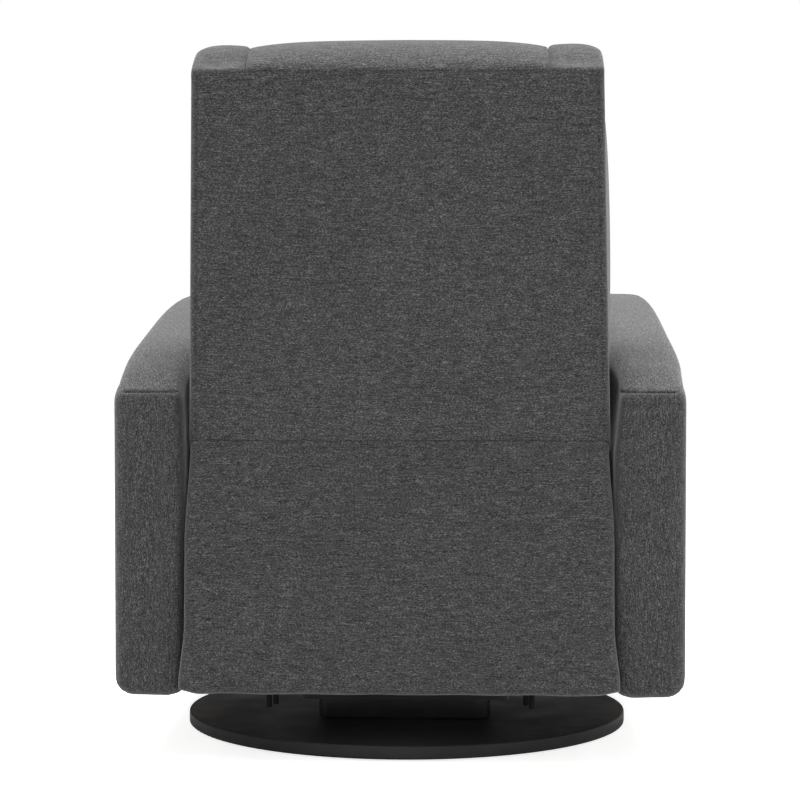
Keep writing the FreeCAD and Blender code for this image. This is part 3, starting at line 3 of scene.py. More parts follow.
import json
import math

import bmesh
import bpy
from mathutils import Matrix, Vector, noise


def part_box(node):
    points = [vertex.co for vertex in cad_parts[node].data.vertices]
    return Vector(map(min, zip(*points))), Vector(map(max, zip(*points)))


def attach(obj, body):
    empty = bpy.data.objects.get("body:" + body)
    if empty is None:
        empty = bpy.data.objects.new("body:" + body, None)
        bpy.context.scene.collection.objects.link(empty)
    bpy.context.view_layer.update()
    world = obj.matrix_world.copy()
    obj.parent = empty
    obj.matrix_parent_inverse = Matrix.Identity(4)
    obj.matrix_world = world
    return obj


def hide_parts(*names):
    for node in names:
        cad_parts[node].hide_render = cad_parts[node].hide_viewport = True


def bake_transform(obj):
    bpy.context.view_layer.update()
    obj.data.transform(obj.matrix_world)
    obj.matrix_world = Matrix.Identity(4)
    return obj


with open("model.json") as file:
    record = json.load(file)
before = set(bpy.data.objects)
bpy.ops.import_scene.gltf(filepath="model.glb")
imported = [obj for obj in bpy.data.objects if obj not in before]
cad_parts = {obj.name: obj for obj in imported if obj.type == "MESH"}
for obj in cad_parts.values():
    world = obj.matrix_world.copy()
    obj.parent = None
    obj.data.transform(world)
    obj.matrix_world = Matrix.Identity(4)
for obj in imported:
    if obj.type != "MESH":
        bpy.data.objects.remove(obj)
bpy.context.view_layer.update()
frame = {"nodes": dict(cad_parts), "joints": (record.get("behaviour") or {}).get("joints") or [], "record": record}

# Places and sizes, in metres. X runs to the chair's left, Y to its rear and Z up.
SIDES = {"left": 1, "right": -1}
UP = Vector((0, 0, 1))
BODY_OF = {node: body for body, nodes in frame["record"]["behaviour"]["bodies"].items() for node in nodes}

# The backrest. LEAN takes a place in the upright backrest, measured from its hinge, to the leaning one.
RECLINE = next(joint for joint in frame["joints"] if joint["name"] == "recline")
HINGE = Vector(RECLINE["pos_m"])
BACK_LEAN = math.radians(9.2)
FULL_RECLINE = math.radians(RECLINE["range_deg"][1])
LEAN = Matrix.Translation(HINGE) @ Matrix.Rotation(-BACK_LEAN, 4, "X")
UPRIGHT = LEAN.inverted()
RECLINED = Matrix.Rotation(FULL_RECLINE, 4, "X") @ UPRIGHT

# The outside back: a flat face down to its roll, which turns under about the hinge.
BACK_HALF_FOOT, BACK_HALF_HEAD = 0.2805, 0.267
BACK_SEAM_HEIGHT = 0.468
BACK_EDGE_ROUND, BACK_SIDE_RETURN = 0.010, 0.0215
BACK_THICKNESS = 0.005
BACK_ROWS, ROLL_ROWS, BACK_COLUMNS = 100, 12, 112
ROLL_DEPTH, ROLL_DROP = 0.056, 0.018
ROLL_RADIUS = math.hypot(ROLL_DEPTH, ROLL_DROP)
ROLL_START, ROLL_ANGLE = math.atan2(ROLL_DROP, ROLL_DEPTH), math.radians(24)
FLAT_LENGTH = BACK_SEAM_HEIGHT + ROLL_DROP
EDGE_SEAM = 0.009
RIDGE_RISE, RIDGE_OFFSET, RIDGE_WIDTH = 0.0012, 0.006, 0.004
TOP_TUCK, TOP_TUCK_WIDTH = 0.0015, 0.003
TOP_SEAM_STRENGTH, TOP_SEAM_WIDTH = 0.35, 0.0025
REAR_FACE_DEPTH = 0.006
EDGE_FADE = 0.03

# The lower rear panel, whose heights run from its lip down to its hem.
PANEL_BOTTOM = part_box("rear_panel")[0].z + 0.003
PANEL_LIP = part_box("rear_panel")[1].z - 0.0002
PANEL_FOOT, PANEL_HEAD = 0.362, 0.3366
PANEL_HALF_FOOT, PANEL_HALF_HEAD = 0.2857, 0.2785
PANEL_TAPER_SHARE = 0.4
PANEL_FLARE, FLARE_START = 0.0075, 0.72
PANEL_HOLLOW, HOLLOW_FADE = 0.003, 0.08
PANEL_EDGE_ROUND, PANEL_SIDE_RETURN = 0.008, 0.010
PANEL_THICKNESS = 0.003
PANEL_ROWS, LIP_ROWS, HEM_ROWS, PANEL_COLUMNS = 76, 4, 7, 116
LIP_ROUND, LIP_DRAW, LIP_REACH = 0.0008, 0.003, 0.025
LIP_BAND, LIP_CLEARANCE = 0.010, 0.0003
HEM_ROUND, HEM_TURN = 0.010, 0.012
CREASE_START = 0.70
CORNER_LIFT = 0.005

# The back's cushions, in the upright backrest.
BOLSTER_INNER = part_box("back_bolster_left")[0].x
CUSHION_REAR = 0.026
CUSHION_HELD_REAR, CUSHION_HELD_FOOT, CUSHION_HELD_CREST = 0.010, 0.02, 0.004
CREST_TUCK, CREST_EDGE_DEPTH, CREST_EDGE_RISE = 0.014, 0.002, 0.001
CREST_FADE = 0.020
CENTRE_LIFT, CENTRE_DROP = 0.0018, 0.003
BOLSTER_SAG = 0.0036
BOLSTER_FALL, BOLSTER_FALL_FROM, BOLSTER_FALL_OVER = 0.004, -0.01, 0.06
NOTCH_STRENGTH, NOTCH_WIDTH, NOTCH_START = 0.60, 0.003, 0.004
FRONT_SEAM_HEIGHT = 0.30

# The seat, the footrest and the cloth round them.
SEAT_HELD_BELOW, SEAT_HELD_BEYOND, SEAT_HELD_BEHIND = 0.368, 0.280, 0.135
SEAT_SEAM_HEIGHT, SEAT_NOSE = 0.405, -0.30
FOOTREST_HELD_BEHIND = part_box("footrest_board")[0].y - 0.007
FOOTREST_SEAM_HEIGHT = 0.300
FOOTREST_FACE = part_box("footrest_board")[0].y - 0.015
WRAP_CLOTH, WRAP_TURN = 0.0014, 0.016
APRON_DEPTH, APRON_LAP, APRON_GAP = 0.009, 0.007, 0.0015
APRON_SIDE_GAP, APRON_ROUND = 0.003, 0.003
DECKING_GAP, DECKING_RISE = 0.0015, 0.002
DECKING_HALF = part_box("side_plate_left")[0].x - DECKING_GAP
DECKING_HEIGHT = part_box("seat_rear_rail")[1].z + DECKING_RISE
DECKING_ROWS, SKIRT_ROWS, DECKING_COLUMNS = 20, 16, 60
DECKING_CLOTH = 0.0012
SKIRT_PLACE, SKIRT_TUCK, SKIRT_SLACK = HINGE.y - 0.050, 0.012, 0.008

# The arms. The photograph shows a wider gap beside the backrest on the chair's right.
ARM_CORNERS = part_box("arm_pad_left")
ARM_INNER, ARM_OUTER = (corner.x for corner in ARM_CORNERS)
ARM_LOW, ARM_REAR = ARM_CORNERS[0].z, ARM_CORNERS[1].y
ARM_WIDTH = ARM_OUTER - ARM_INNER
ARM_CRISP_BEHIND, ARM_CRISP_BEYOND = 0.31, ARM_INNER + 0.020
ARM_FULLNESS, ARM_FULLEST, ARM_FULL_LENGTH = 0.0045, 0.20, 0.11
ARM_TOP_SEAM, ARM_TOP_FADE = 0.4965, 0.03
ARM_BROW_BEHIND, ARM_BROW_INSET, ARM_BROW_OUTSET = 0.30, 0.009, 0.012
ARM_LIFT, ARM_LIFT_FADE = 0.002, 0.03
ARM_FOOT_ROUND_OUTER, ARM_FOOT_ROUND_INNER = 0.030, 0.020
ARM_REAR_ROUND = {1: 0.012, -1: 0.005}
ARM_DRAW = {1: 0.003, -1: 0.0085}
DRAW_FROM, DRAW_ABOVE, DRAW_FADE = 0.17, 0.40, 0.10
# Painted shade on the arms' inner walls beside the backrest, deeper on the right.
GAP_SHADE = {1: 0.87, -1: 1.0}
GAP_FROM, GAP_FADE, GAP_WALL = 0.14, 0.12, 0.002
GAP_TOP, GAP_TOP_SLOPE, GAP_TOP_FADE = 0.500, 0.20, 0.05

# Stuffing.
CUSHION_VOXEL, ARM_VOXEL = 0.005, 0.006
RELAXED = 0.0008
CLOTH_TENSION, SWELL_FRAMES = 12, 20
BACK_PRESSURE, SEAT_PRESSURE = 3.0, 4.0
CENTRE_SWELL, BOLSTER_SWELL, SEAT_SWELL, FOOTREST_SWELL = 0.018, 0.012, 0.024, 0.016

# The floor, the surround and the camera.
FLOOR_SIZE, FLOOR_TONE, FLOOR_GLOW = 24, 0.80, 0.75
SURROUND_LEVEL = 0.45
CAMERA_PLACE, CAMERA_TARGET = Vector((-0.099, 3.168, 0.5712)), Vector((0.010, 0, 0.4753))
CAMERA_SENSOR, CAMERA_LENS = 36, 96.1


# Tools of the upholstery bench.


def bare_hands():
    """Back to object mode with nothing selected."""
    if bpy.context.object and bpy.context.object.mode != "OBJECT":
        bpy.ops.object.mode_set(mode="OBJECT")
    bpy.ops.object.select_all(action="DESELECT")


def take(piece):
    """Select one piece and make it active."""
    bare_hands()
    piece.select_set(True)
    bpy.context.view_layer.objects.active = piece


def edit(piece):
    """Go into edit mode on a piece with all of it selected."""
    take(piece)
    bpy.ops.object.mode_set(mode="EDIT")
    bpy.ops.mesh.select_all(action="SELECT")


def settle(piece):
    """Apply all of a piece's modifiers."""
    take(piece)
    for modifier in list(piece.modifiers):
        bpy.ops.object.modifier_apply(modifier=modifier.name)


def smooth(piece, angle=40):
    """Shade a piece smooth, apart from edges sharper than an angle in degrees."""
    take(piece)
    bpy.ops.object.shade_smooth_by_angle(angle=math.radians(angle))
    return piece


def give(piece, finish):
    """Give a piece one finish."""
    piece.data.materials.clear()
    piece.data.materials.append(finish)
    return piece


def copy_of_solid(node, name):
    """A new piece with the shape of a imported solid, its loose triangles merged."""
    mesh = frame["nodes"][node].data.copy()
    mesh.materials.clear()
    piece = bpy.data.objects.new(name, mesh)
    bpy.context.scene.collection.objects.link(piece)
    edit(piece)
    bpy.ops.mesh.remove_doubles(threshold=0.00005)
    bpy.ops.object.mode_set(mode="OBJECT")
    return piece


def block(name, low, high):
    """A box between two corners, left in edit mode with all of it selected."""
    bare_hands()
    bpy.ops.mesh.primitive_cube_add(size=1)
    piece = bpy.context.object
    piece.name = name
    edit(piece)
    bpy.ops.transform.resize(value=high - low)
    bpy.ops.transform.translate(value=(low + high) / 2)
    return piece


def skin(name, rows):
    """A surface through rows of points, from its top down and from +X to -X, facing the rear."""
    bm = bmesh.new()
    lines = [[bm.verts.new(point) for point in row] for row in rows]
    for upper, lower in zip(lines, lines[1:]):
        for first in range(len(upper) - 1):
            bm.faces.new((upper[first], lower[first], lower[first + 1], upper[first + 1]))
    mesh = bpy.data.meshes.new(name)
    bm.to_mesh(mesh)
    bm.free()
    piece = bpy.data.objects.new(name, mesh)
    bpy.context.scene.collection.objects.link(piece)
    return piece


def backed(piece, thickness):
    """Give a surface a back and edges, and turn its normals out."""
    modifier = piece.modifiers.new("Solidify", "SOLIDIFY")
    modifier.thickness = thickness
    modifier.offset = -1
    settle(piece)
    edit(piece)
    bpy.ops.mesh.normals_make_consistent(inside=False)
    bare_hands()
    return smooth(piece, 50)


def remesh(piece, voxel):
    """Rebuild a piece's surface from voxels of a size."""
    take(piece)
    modifier = piece.modifiers.new("Remesh", "REMESH")
    modifier.mode = "VOXEL"
    modifier.voxel_size = voxel
    modifier.use_smooth_shade = True
    settle(piece)


def relax(piece, repeats=4, where=None):
    """Even out a remeshed surface, or only the part of it where a function of place says so."""
    modifier = piece.modifiers.new("Smooth", "SMOOTH")
    modifier.factor = 0.5
    modifier.iterations = repeats
    if where:
        group = piece.vertex_groups.new(name="relaxed")
        group.add([vertex.index for vertex in piece.data.vertices if where(vertex.co)], 1.0, "REPLACE")
        modifier.vertex_group = group.name
    settle(piece)
    piece.vertex_groups.clear()


def shape(piece, move):
    """Move each vertex to where a function of its place and normal says."""
    mesh = piece.data
    normals = [vertex.normal.copy() for vertex in mesh.vertices]
    for vertex, normal in zip(mesh.vertices, normals):
        vertex.co = move(vertex.co.copy(), normal)
    mesh.update()


def inflate(piece, held, pressure, most):
    """Swell a remeshed pad with a cloth simulation, by a distance at most. Places that are held stay put."""
    take(piece)
    start = [vertex.co.copy() for vertex in piece.data.vertices]
    group = piece.vertex_groups.new(name="held")
    group.add([vertex.index for vertex in piece.data.vertices if held(vertex.co)], 1.0, "REPLACE")
    add_cloth(piece, group, pressure)
    for number in range(1, SWELL_FRAMES + 1):
        bpy.context.scene.frame_set(number)
    settle(piece)
    bpy.context.scene.frame_set(1)
    for vertex, origin in zip(piece.data.vertices, start):
        step = vertex.co - origin
        if step.length > most:
            vertex.co = origin + step * (most / step.length)
    piece.data.update()
    piece.vertex_groups.clear()


def add_cloth(piece, held, pressure):
    """Stretchy cloth under pressure from inside, without gravity, pinned by a group of vertices."""
    modifier = piece.modifiers.new("Cloth", "CLOTH")
    cloth = modifier.settings
    cloth.quality = 4
    cloth.mass = 0.4
    cloth.tension_stiffness = CLOTH_TENSION
    cloth.compression_stiffness = CLOTH_TENSION
    cloth.shear_stiffness = CLOTH_TENSION / 2
    cloth.bending_stiffness = 2.0
    cloth.use_pressure = True
    cloth.uniform_pressure_force = pressure
    cloth.effector_weights.gravity = 0
    cloth.vertex_group_mass = held.name
    modifier.collision_settings.use_collision = False
    modifier.point_cache.frame_start = 1
    modifier.point_cache.frame_end = SWELL_FRAMES


def mark(piece, amount):
    """Note on each vertex, in its "seam" attribute, how dark a seam or painted shade makes it there, on top of
    what is noted already.
    """
    mesh = piece.data
    noted = mesh.attributes.get("seam") or mesh.attributes.new("seam", "FLOAT", "POINT")
    for vertex, note in zip(mesh.vertices, noted.data):
        note.value = max(note.value, amount(vertex.co))


def seam(piece, point, normal, keep, width=0.0024, depth=0.0016, strength=0.87):
    """Sew a seam where a plane cuts a piece and keep(place) holds: fine edge loops, pressed in and marked."""
    normal = Vector(normal).normalized()
    point = Vector(point)

    def away(place):
        return (place - point).dot(normal) / width

    def sewn(place):
        return bell(away(place), 1.0) if abs(away(place)) < 3 and keep(place) else 0.0

    bm = bmesh.new()
    bm.from_mesh(piece.data)
    for offset in (-2, -1, 0, 1, 2):
        chosen = set()
        for face in bm.faces:
            sides = [away(vertex.co) - offset for vertex in face.verts]
            if min(sides) < 0 < max(sides) and keep(face.calc_center_median()):
                chosen.update((face, *face.edges, *face.verts))
        plane = point + normal * offset * width
        bmesh.ops.bisect_plane(bm, geom=list(chosen), plane_co=plane, plane_no=normal, dist=0.0001)
    bm.to_mesh(piece.data)
    bm.free()
    mark(piece, lambda place: strength * sewn(place))
    shape(piece, lambda place, outward: place - outward * depth * sewn(place))


def spread(low, high, count):
    """Evenly spaced values, both ends included."""
    return [low + (high - low) * step / (count - 1) for step in range(count)]


def bell(value, width):
    """1 at zero, falling off smoothly over a width on both sides."""
    return math.exp(-((value / width) ** 2))


def ease(value):
    """A smooth step from 0 to 1."""
    value = min(max(value, 0.0), 1.0)
    return value * value * (3 - 2 * value)


def ripple(place, size, depth):
    """Slow unevenness of stretched cloth. A whole number in the place keeps each panel's waves its own."""
    return depth * noise.noise(Vector(place) / size)


def round_corner(first, second, radius):
    """A place in a corner, as its distances from two walls, brought onto a round of a radius."""
    aside, above = radius - first, radius - second
    reach = math.hypot(aside, above)
    if min(aside, above) > 0 and reach > radius:
        return radius - aside * radius / reach, radius - above * radius / reach
    return first, second


# Finishes.


def new_finish(name):
    """A material with a Principled shader, as its nodes, its links and the shader."""
    finish = bpy.data.materials.new(name)
    finish.use_nodes = True
    nodes, links = finish.node_tree.nodes, finish.node_tree.links
    nodes.clear()
    output = nodes.new("ShaderNodeOutputMaterial")
    shader = nodes.new("ShaderNodeBsdfPrincipled")
    links.new(shader.outputs["BSDF"], output.inputs["Surface"])
    return finish, nodes, links, shader


def placed_coordinates(nodes, links, scale=(1, 1, 1)):
    """Object coordinates, stretched by a scale along X, Y and Z."""
    coordinates = nodes.new("ShaderNodeTexCoord")
    mapping = nodes.new("ShaderNodeMapping")
    mapping.inputs["Scale"].default_value = scale
    links.new(coordinates.outputs["Object"], mapping.inputs["Vector"])
    return mapping.outputs["Vector"]


def noise_on(nodes, links, vector, scale, detail=2.0, roughness=0.5, distortion=0.0):
    """Noise over some coordinates, with about `scale` lumps to the metre."""
    texture = nodes.new("ShaderNodeTexNoise")
    texture.inputs["Scale"].default_value = scale
    texture.inputs["Detail"].default_value = detail
    texture.inputs["Roughness"].default_value = roughness
    texture.inputs["Distortion"].default_value = distortion
    links.new(vector, texture.inputs["Vector"])
    return texture.outputs["Fac"]


def ramp(nodes, links, factor, *stops):
    """A colour ramp from (position, grey or colour) stops."""
    made = nodes.new("ShaderNodeValToRGB")
    elements = made.color_ramp.elements
    while len(elements) < len(stops):
        elements.new(0.5)
    for element, (position, colour) in zip(elements, stops):
        element.position = position
        element.color = (*colour, 1.0) if isinstance(colour, tuple) else (colour, colour, colour, 1.0)
    links.new(factor, made.inputs["Fac"])
    return made.outputs["Color"]


def multiply(nodes, links, first, second):
    """One colour times another."""
    mix = nodes.new("ShaderNodeMix")
    mix.data_type = "RGBA"
    mix.blend_type = "MULTIPLY"
    mix.inputs[0].default_value = 1.0
    links.new(first, mix.inputs[6])
    links.new(second, mix.inputs[7])
    return mix.outputs[2]


def add_heights(nodes, links, first, second, share):
    """One height with a share of another on top of it."""
    made = nodes.new("ShaderNodeMath")
    made.operation = "MULTIPLY_ADD"
    made.inputs[1].default_value = share
    links.new(second, made.inputs[0])
    links.new(first, made.inputs[2])
    return made.outputs["Value"]


def bump(nodes, links, shader, height, strength, distance):
    """Fine relief from a height."""
    made = nodes.new("ShaderNodeBump")
    made.inputs["Strength"].default_value = strength
    made.inputs["Distance"].default_value = distance
    links.new(height, made.inputs["Height"])
    links.new(made.outputs["Normal"], shader.inputs["Normal"])


def facing_up(nodes, links):
    """How much a surface faces up, from -1 to 1."""
    facing = nodes.new("ShaderNodeSeparateXYZ")
    links.new(nodes.new("ShaderNodeNewGeometry").outputs["Normal"], facing.inputs["Vector"])
    return facing.outputs["Z"]


def on_tops(nodes, links, sides, tops):
    """One grey pattern on upright surfaces and another on those that face up."""
    mix = nodes.new("ShaderNodeMix")
    links.new(ramp(nodes, links, facing_up(nodes, links), (0.25, 0.0), (0.60, 1.0)), mix.inputs[0])
    links.new(sides, mix.inputs[2])
    links.new(tops, mix.inputs[3])
    return mix.outputs[0]


def fleck_noise(nodes, links, stretch):
    """Small flecks of yarn, drawn out by a stretch."""
    place = placed_coordinates(nodes, links, stretch)
    return noise_on(nodes, links, place, scale=900, detail=2.0, roughness=0.7)


def heather_fabric(name, fleck_stretch, thread_stretch, painted_shade_level=1.0, top_stretch=None, painted_top_light=1.0):
    """Charcoal heather cloth: dark and pale flecks, threads along the yarn, slow clouds and dark seams, with
    painted shade over the whole cloth from a level below 1 and painted light on surfaces that face up from a top
    level above 1.
    """
    finish, nodes, links, shader = new_finish(name)
    flecks = fleck_noise(nodes, links, fleck_stretch)
    if top_stretch:
        flecks = on_tops(nodes, links, flecks, fleck_noise(nodes, links, top_stretch))
    threads = noise_on(nodes, links, placed_coordinates(nodes, links, thread_stretch), scale=560, detail=1.0)
    slubs = noise_on(nodes, links, placed_coordinates(nodes, links, fleck_stretch), scale=150)
    clouds = noise_on(nodes, links, placed_coordinates(nodes, links), scale=9, detail=3.0, roughness=0.55)
    sewn = nodes.new("ShaderNodeAttribute")
    sewn.attribute_name = "seam"
    tone = ramp(nodes, links, flecks, (0.31, 0.0095), (0.45, 0.034), (0.55, 0.063), (0.69, 0.142))
    layers = (
        ramp(nodes, links, threads, (0.32, 0.72), (0.5, 1.0), (0.68, 1.28)),
        ramp(nodes, links, slubs, (0.3, 0.88), (0.7, 1.12)),
        # Below 1 the clouds' level paints shade over the whole cloth.
        ramp(nodes, links, clouds, (0.3, 0.95 * painted_shade_level), (0.7, 1.05 * painted_shade_level)),
        # The "seam" attribute darkens the seams and also carries painted shade in the gaps beside the backrest.
        ramp(nodes, links, sewn.outputs["Fac"], (0.0, 1.0), (0.8, 0.44), (1.0, 0.05)),
        # Painted light: surfaces that face up are paler.
        ramp(nodes, links, facing_up(nodes, links), (0.2, 1.0), (0.7, painted_top_light)),
    )
    for layer in layers:
        tone = multiply(nodes, links, tone, layer)
    links.new(tone, shader.inputs["Base Color"])
    height = add_heights(nodes, links, flecks, threads, share=0.6)
    bump(nodes, links, shader, height, strength=0.55, distance=0.0010)
    shader.inputs["Roughness"].default_value = 0.95
    shader.inputs["Specular IOR Level"].default_value = 0.15
    shader.inputs["Sheen Weight"].default_value = 0.28
    shader.inputs["Sheen Roughness"].default_value = 0.45
    return finish


def lacquered_board():
    """Satin black lacquer with a faint orange peel, painted shade on its top and painted light across the top's
    middle, which lies in the chair's shadow.
    """
    finish, nodes, links, shader = new_finish("black_lacquer")
    plain = placed_coordinates(nodes, links)
    peel = noise_on(nodes, links, plain, scale=260)
    rub = noise_on(nodes, links, plain, scale=14, detail=4.0, roughness=0.6)
    tone = ramp(nodes, links, rub, (0.3, 0.034), (0.7, 0.044))
    # Painted light across the top's shaded middle and painted shade on the rest of the top.
    from_middle = nodes.new("ShaderNodeVectorMath")
    from_middle.operation = "LENGTH"
    links.new(placed_coordinates(nodes, links, (1, 0.35, 0)), from_middle.inputs[0])
    middle = ramp(nodes, links, from_middle.outputs["Value"], (0.08, 1.50), (0.22, 0.62))
    top_light_and_shade = multiply(nodes, links, tone, middle)
    links.new(on_tops(nodes, links, tone, top_light_and_shade), shader.inputs["Base Color"])
    links.new(ramp(nodes, links, rub, (0.3, 0.36), (0.7, 0.50)), shader.inputs["Roughness"])
    bump(nodes, links, shader, peel, strength=0.08, distance=0.0004)
    shader.inputs["Specular IOR Level"].default_value = 0.06
    return finish


def painted_steel(name, grey, roughness, shine):
    """Powder-coated steel."""
    finish, nodes, links, shader = new_finish(name)
    plain = placed_coordinates(nodes, links)
    grain = noise_on(nodes, links, plain, scale=900)
    patches = noise_on(nodes, links, plain, scale=30, detail=3.0)
    tone = ramp(nodes, links, patches, (0.3, grey * 0.8), (0.7, grey * 1.25))
    links.new(tone, shader.inputs["Base Color"])
    bump(nodes, links, shader, grain, strength=0.25, distance=0.0003)
    shader.inputs["Roughness"].default_value = roughness
    shader.inputs["Specular IOR Level"].default_value = shine
    return finish


def moulded_plastic(name, grey, roughness, grain_scale, grain_strength, shine=0.5):
    """Moulded plastic with a fine grain and faint patches."""
    finish, nodes, links, shader = new_finish(name)
    plain = placed_coordinates(nodes, links)
    grain = noise_on(nodes, links, plain, grain_scale)
    patches = noise_on(nodes, links, plain, scale=25, detail=3.0)
    tone = ramp(nodes, links, patches, (0.3, grey * 0.85), (0.7, grey * 1.2))
    links.new(tone, shader.inputs["Base Color"])
    bump(nodes, links, shader, grain, grain_strength, distance=0.0003)
    shader.inputs["Roughness"].default_value = roughness
    shader.inputs["Specular IOR Level"].default_value = shine
    return finish


def bare_metal(name, colour, roughness, stretch):
    """Plated or drawn steel, with fine lines along its length."""
    finish, nodes, links, shader = new_finish(name)
    lines = noise_on(nodes, links, placed_coordinates(nodes, links, stretch), scale=500, detail=3.0)
    dull = tuple(part * 0.82 for part in colour)
    links.new(ramp(nodes, links, lines, (0.3, dull), (0.7, colour)), shader.inputs["Base Color"])
    gloss = ramp(nodes, links, lines, (0.3, roughness * 0.8), (0.7, roughness * 1.25))
    links.new(gloss, shader.inputs["Roughness"])
    shader.inputs["Metallic"].default_value = 1.0
    return finish


def plywood():
    """Plywood with long grain along X and fine pores."""
    finish, nodes, links, shader = new_finish("plywood")
    along = placed_coordinates(nodes, links, (0.06, 1, 1))
    grain = noise_on(nodes, links, along, scale=70, detail=4.0, roughness=0.6, distortion=0.6)
    pores = noise_on(nodes, links, placed_coordinates(nodes, links, (0.05, 1, 1)), scale=900, detail=1.0)
    dark, middling, pale = (0.36, 0.23, 0.12), (0.52, 0.36, 0.21), (0.62, 0.46, 0.29)
    tone = ramp(nodes, links, grain, (0.25, dark), (0.5, middling), (0.75, pale))
    links.new(tone, shader.inputs["Base Color"])
    bump(nodes, links, shader, pores, strength=0.2, distance=0.0003)
    shader.inputs["Roughness"].default_value = 0.62
    return finish


def felt():
    """Grey felt."""
    finish, nodes, links, shader = new_finish("felt")
    fibres = noise_on(nodes, links, placed_coordinates(nodes, links), scale=700, detail=4.0, roughness=0.7)
    links.new(ramp(nodes, links, fibres, (0.3, 0.07), (0.7, 0.15)), shader.inputs["Base Color"])
    bump(nodes, links, shader, fibres, strength=0.7, distance=0.001)
    shader.inputs["Roughness"].default_value = 1.0
    return finish


# Yarn runs across the chair on the back and the cushions, and up and along the arms.
FLECKS_ACROSS, THREADS_ACROSS = (0.48, 1, 1), (0.11, 1, 1)
FLECKS_ALONG, THREADS_ALONG, FLECKS_ON_ARM_TOPS = (1, 0.85, 0.55), (1, 0.80, 0.12), (0.9, 0.22, 0.5)
CROSSWISE = heather_fabric("heather_crosswise", FLECKS_ACROSS, THREADS_ACROSS)
# SHADED is the same cloth with painted shade, for the lower rear panel.
SHADED = heather_fabric("heather_shaded", FLECKS_ACROSS, THREADS_ACROSS, painted_shade_level=0.88)
# LENGTHWISE, on the arms, has painted shade over all of it and painted light on its tops.
LENGTHWISE = heather_fabric(
    "heather_lengthwise",
    FLECKS_ALONG,
    THREADS_ALONG,
    painted_shade_level=0.90,
    top_stretch=FLECKS_ON_ARM_TOPS,
    painted_top_light=1.55,
)
FINISHES = {
    "black_board": lacquered_board(),
    "felt": felt(),
    "black_gloss": moulded_plastic("black_gloss", 0.017, 0.16, 300, grain_strength=0.05, shine=0.28),
    "black_steel": painted_steel("black_steel", grey=0.014, roughness=0.42, shine=0.25),
    "bright_steel": bare_metal("bright_steel", (0.56, 0.56, 0.57), roughness=0.30, stretch=(1, 1, 0.1)),
    "spring_steel": bare_metal("spring_steel", (0.30, 0.30, 0.31), roughness=0.38, stretch=(1, 1, 1)),
    "plywood": plywood(),
    "dark_plastic": moulded_plastic("dark_plastic", 0.025, 0.55, 700, grain_strength=0.3),
    "handle_plastic": moulded_plastic("handle_plastic", 0.030, 0.48, 1100, grain_strength=0.5),
    "charcoal_fabric": CROSSWISE,
}
BLACKENED = painted_steel("blackened_bolts", grey=0.006, roughness=0.6, shine=0.08)


# Upholstery.


def dress(piece, node, finish):
    """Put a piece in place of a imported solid, on the same body."""
    give(piece, finish)
    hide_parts(node)
    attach(piece, BODY_OF[node])
    return piece


def trim(piece, body):
    """Put an added trim of cloth on a body."""
    give(piece, CROSSWISE)
    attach(piece, body)


def across(half, edge_round, side_return, count):
    """A panel's section across the chair, as (x, how far below its rear face), with rounded side edges."""
    half_section = [(half, edge_round + side_return)]
    for turn in spread(0, math.pi / 2, 6):
        half_section.append((half - edge_round * (1 - math.cos(turn)), edge_round * (1 - math.sin(turn))))
    flat = half - edge_round
    middle = [(x, 0.0) for x in spread(flat, -flat, count)[1:-1]]
    other = [(-x, below) for x, below in reversed(half_section)]
    return half_section + middle + other


def half_back(height):
    """Half the backrest's width at a height above the hinge axis."""
    return BACK_HALF_FOOT + (BACK_HALF_HEAD - BACK_HALF_FOOT) * height / BACK_SEAM_HEIGHT


def outside_back():
    """The outside back: one sewn panel from the top seam down over the roll above the hinge."""
    end = FLAT_LENGTH + ROLL_RADIUS * ROLL_ANGLE
    steps = spread(0, FLAT_LENGTH, BACK_ROWS) + spread(FLAT_LENGTH, end, ROLL_ROWS)[1:]
    piece = backed(skin("outside_back", [outside_back_row(step) for step in steps]), BACK_THICKNESS)
    taper = (BACK_HALF_FOOT - BACK_HALF_HEAD) / BACK_SEAM_HEIGHT
    for sign in SIDES.values():
        foot = LEAN @ Vector((sign * (BACK_HALF_FOOT - EDGE_SEAM), 0, 0))
        slant = LEAN.to_3x3() @ Vector((sign, 0, taper))
        seam(piece, foot, slant, on_rear_face, depth=0.0008, strength=0.30)
    mark(piece, top_seam)
    dress(piece, "back_shell", CROSSWISE)


def outside_back_row(step):
    """One row of the outside back, some way down from its top seam."""
    height = BACK_SEAM_HEIGHT - step
    turn = max(step - FLAT_LENGTH, 0) / ROLL_RADIUS
    half = half_back(max(height, -ROLL_DEPTH))
    tuck = TOP_TUCK * bell(step, TOP_TUCK_WIDTH)
    row = []
    for x, below in across(half, BACK_EDGE_ROUND, BACK_SIDE_RETURN, BACK_COLUMNS):
        edge = half - abs(x)
        depth = ROLL_DEPTH - below - tuck
        depth += RIDGE_RISE * bell(edge - EDGE_SEAM - RIDGE_OFFSET, RIDGE_WIDTH)
        depth += ripple((x, 0, step), size=0.11, depth=0.0010) * ease(edge / EDGE_FADE)
        row.append(LEAN @ rolled(x, depth, height, turn))
    return row


def rolled(x, depth, height, turn):
    """A point of the outside back: on its flat face, or turned under about the hinge."""
    if not turn:
        return Vector((x, depth, height))
    reach = depth + ROLL_RADIUS - ROLL_DEPTH
    angle = ROLL_START + turn
    return Vector((x, reach * math.cos(angle), -reach * math.sin(angle)))


def on_rear_face(place):
    """Whether a place is on the outside back's rear face."""
    return (UPRIGHT @ place).y > ROLL_DEPTH - REAR_FACE_DEPTH


def top_seam(place):
    """How much a place belongs to the seam along the outside back's top."""
    return TOP_SEAM_STRENGTH * bell((UPRIGHT @ place).z - BACK_SEAM_HEIGHT, TOP_SEAM_WIDTH)


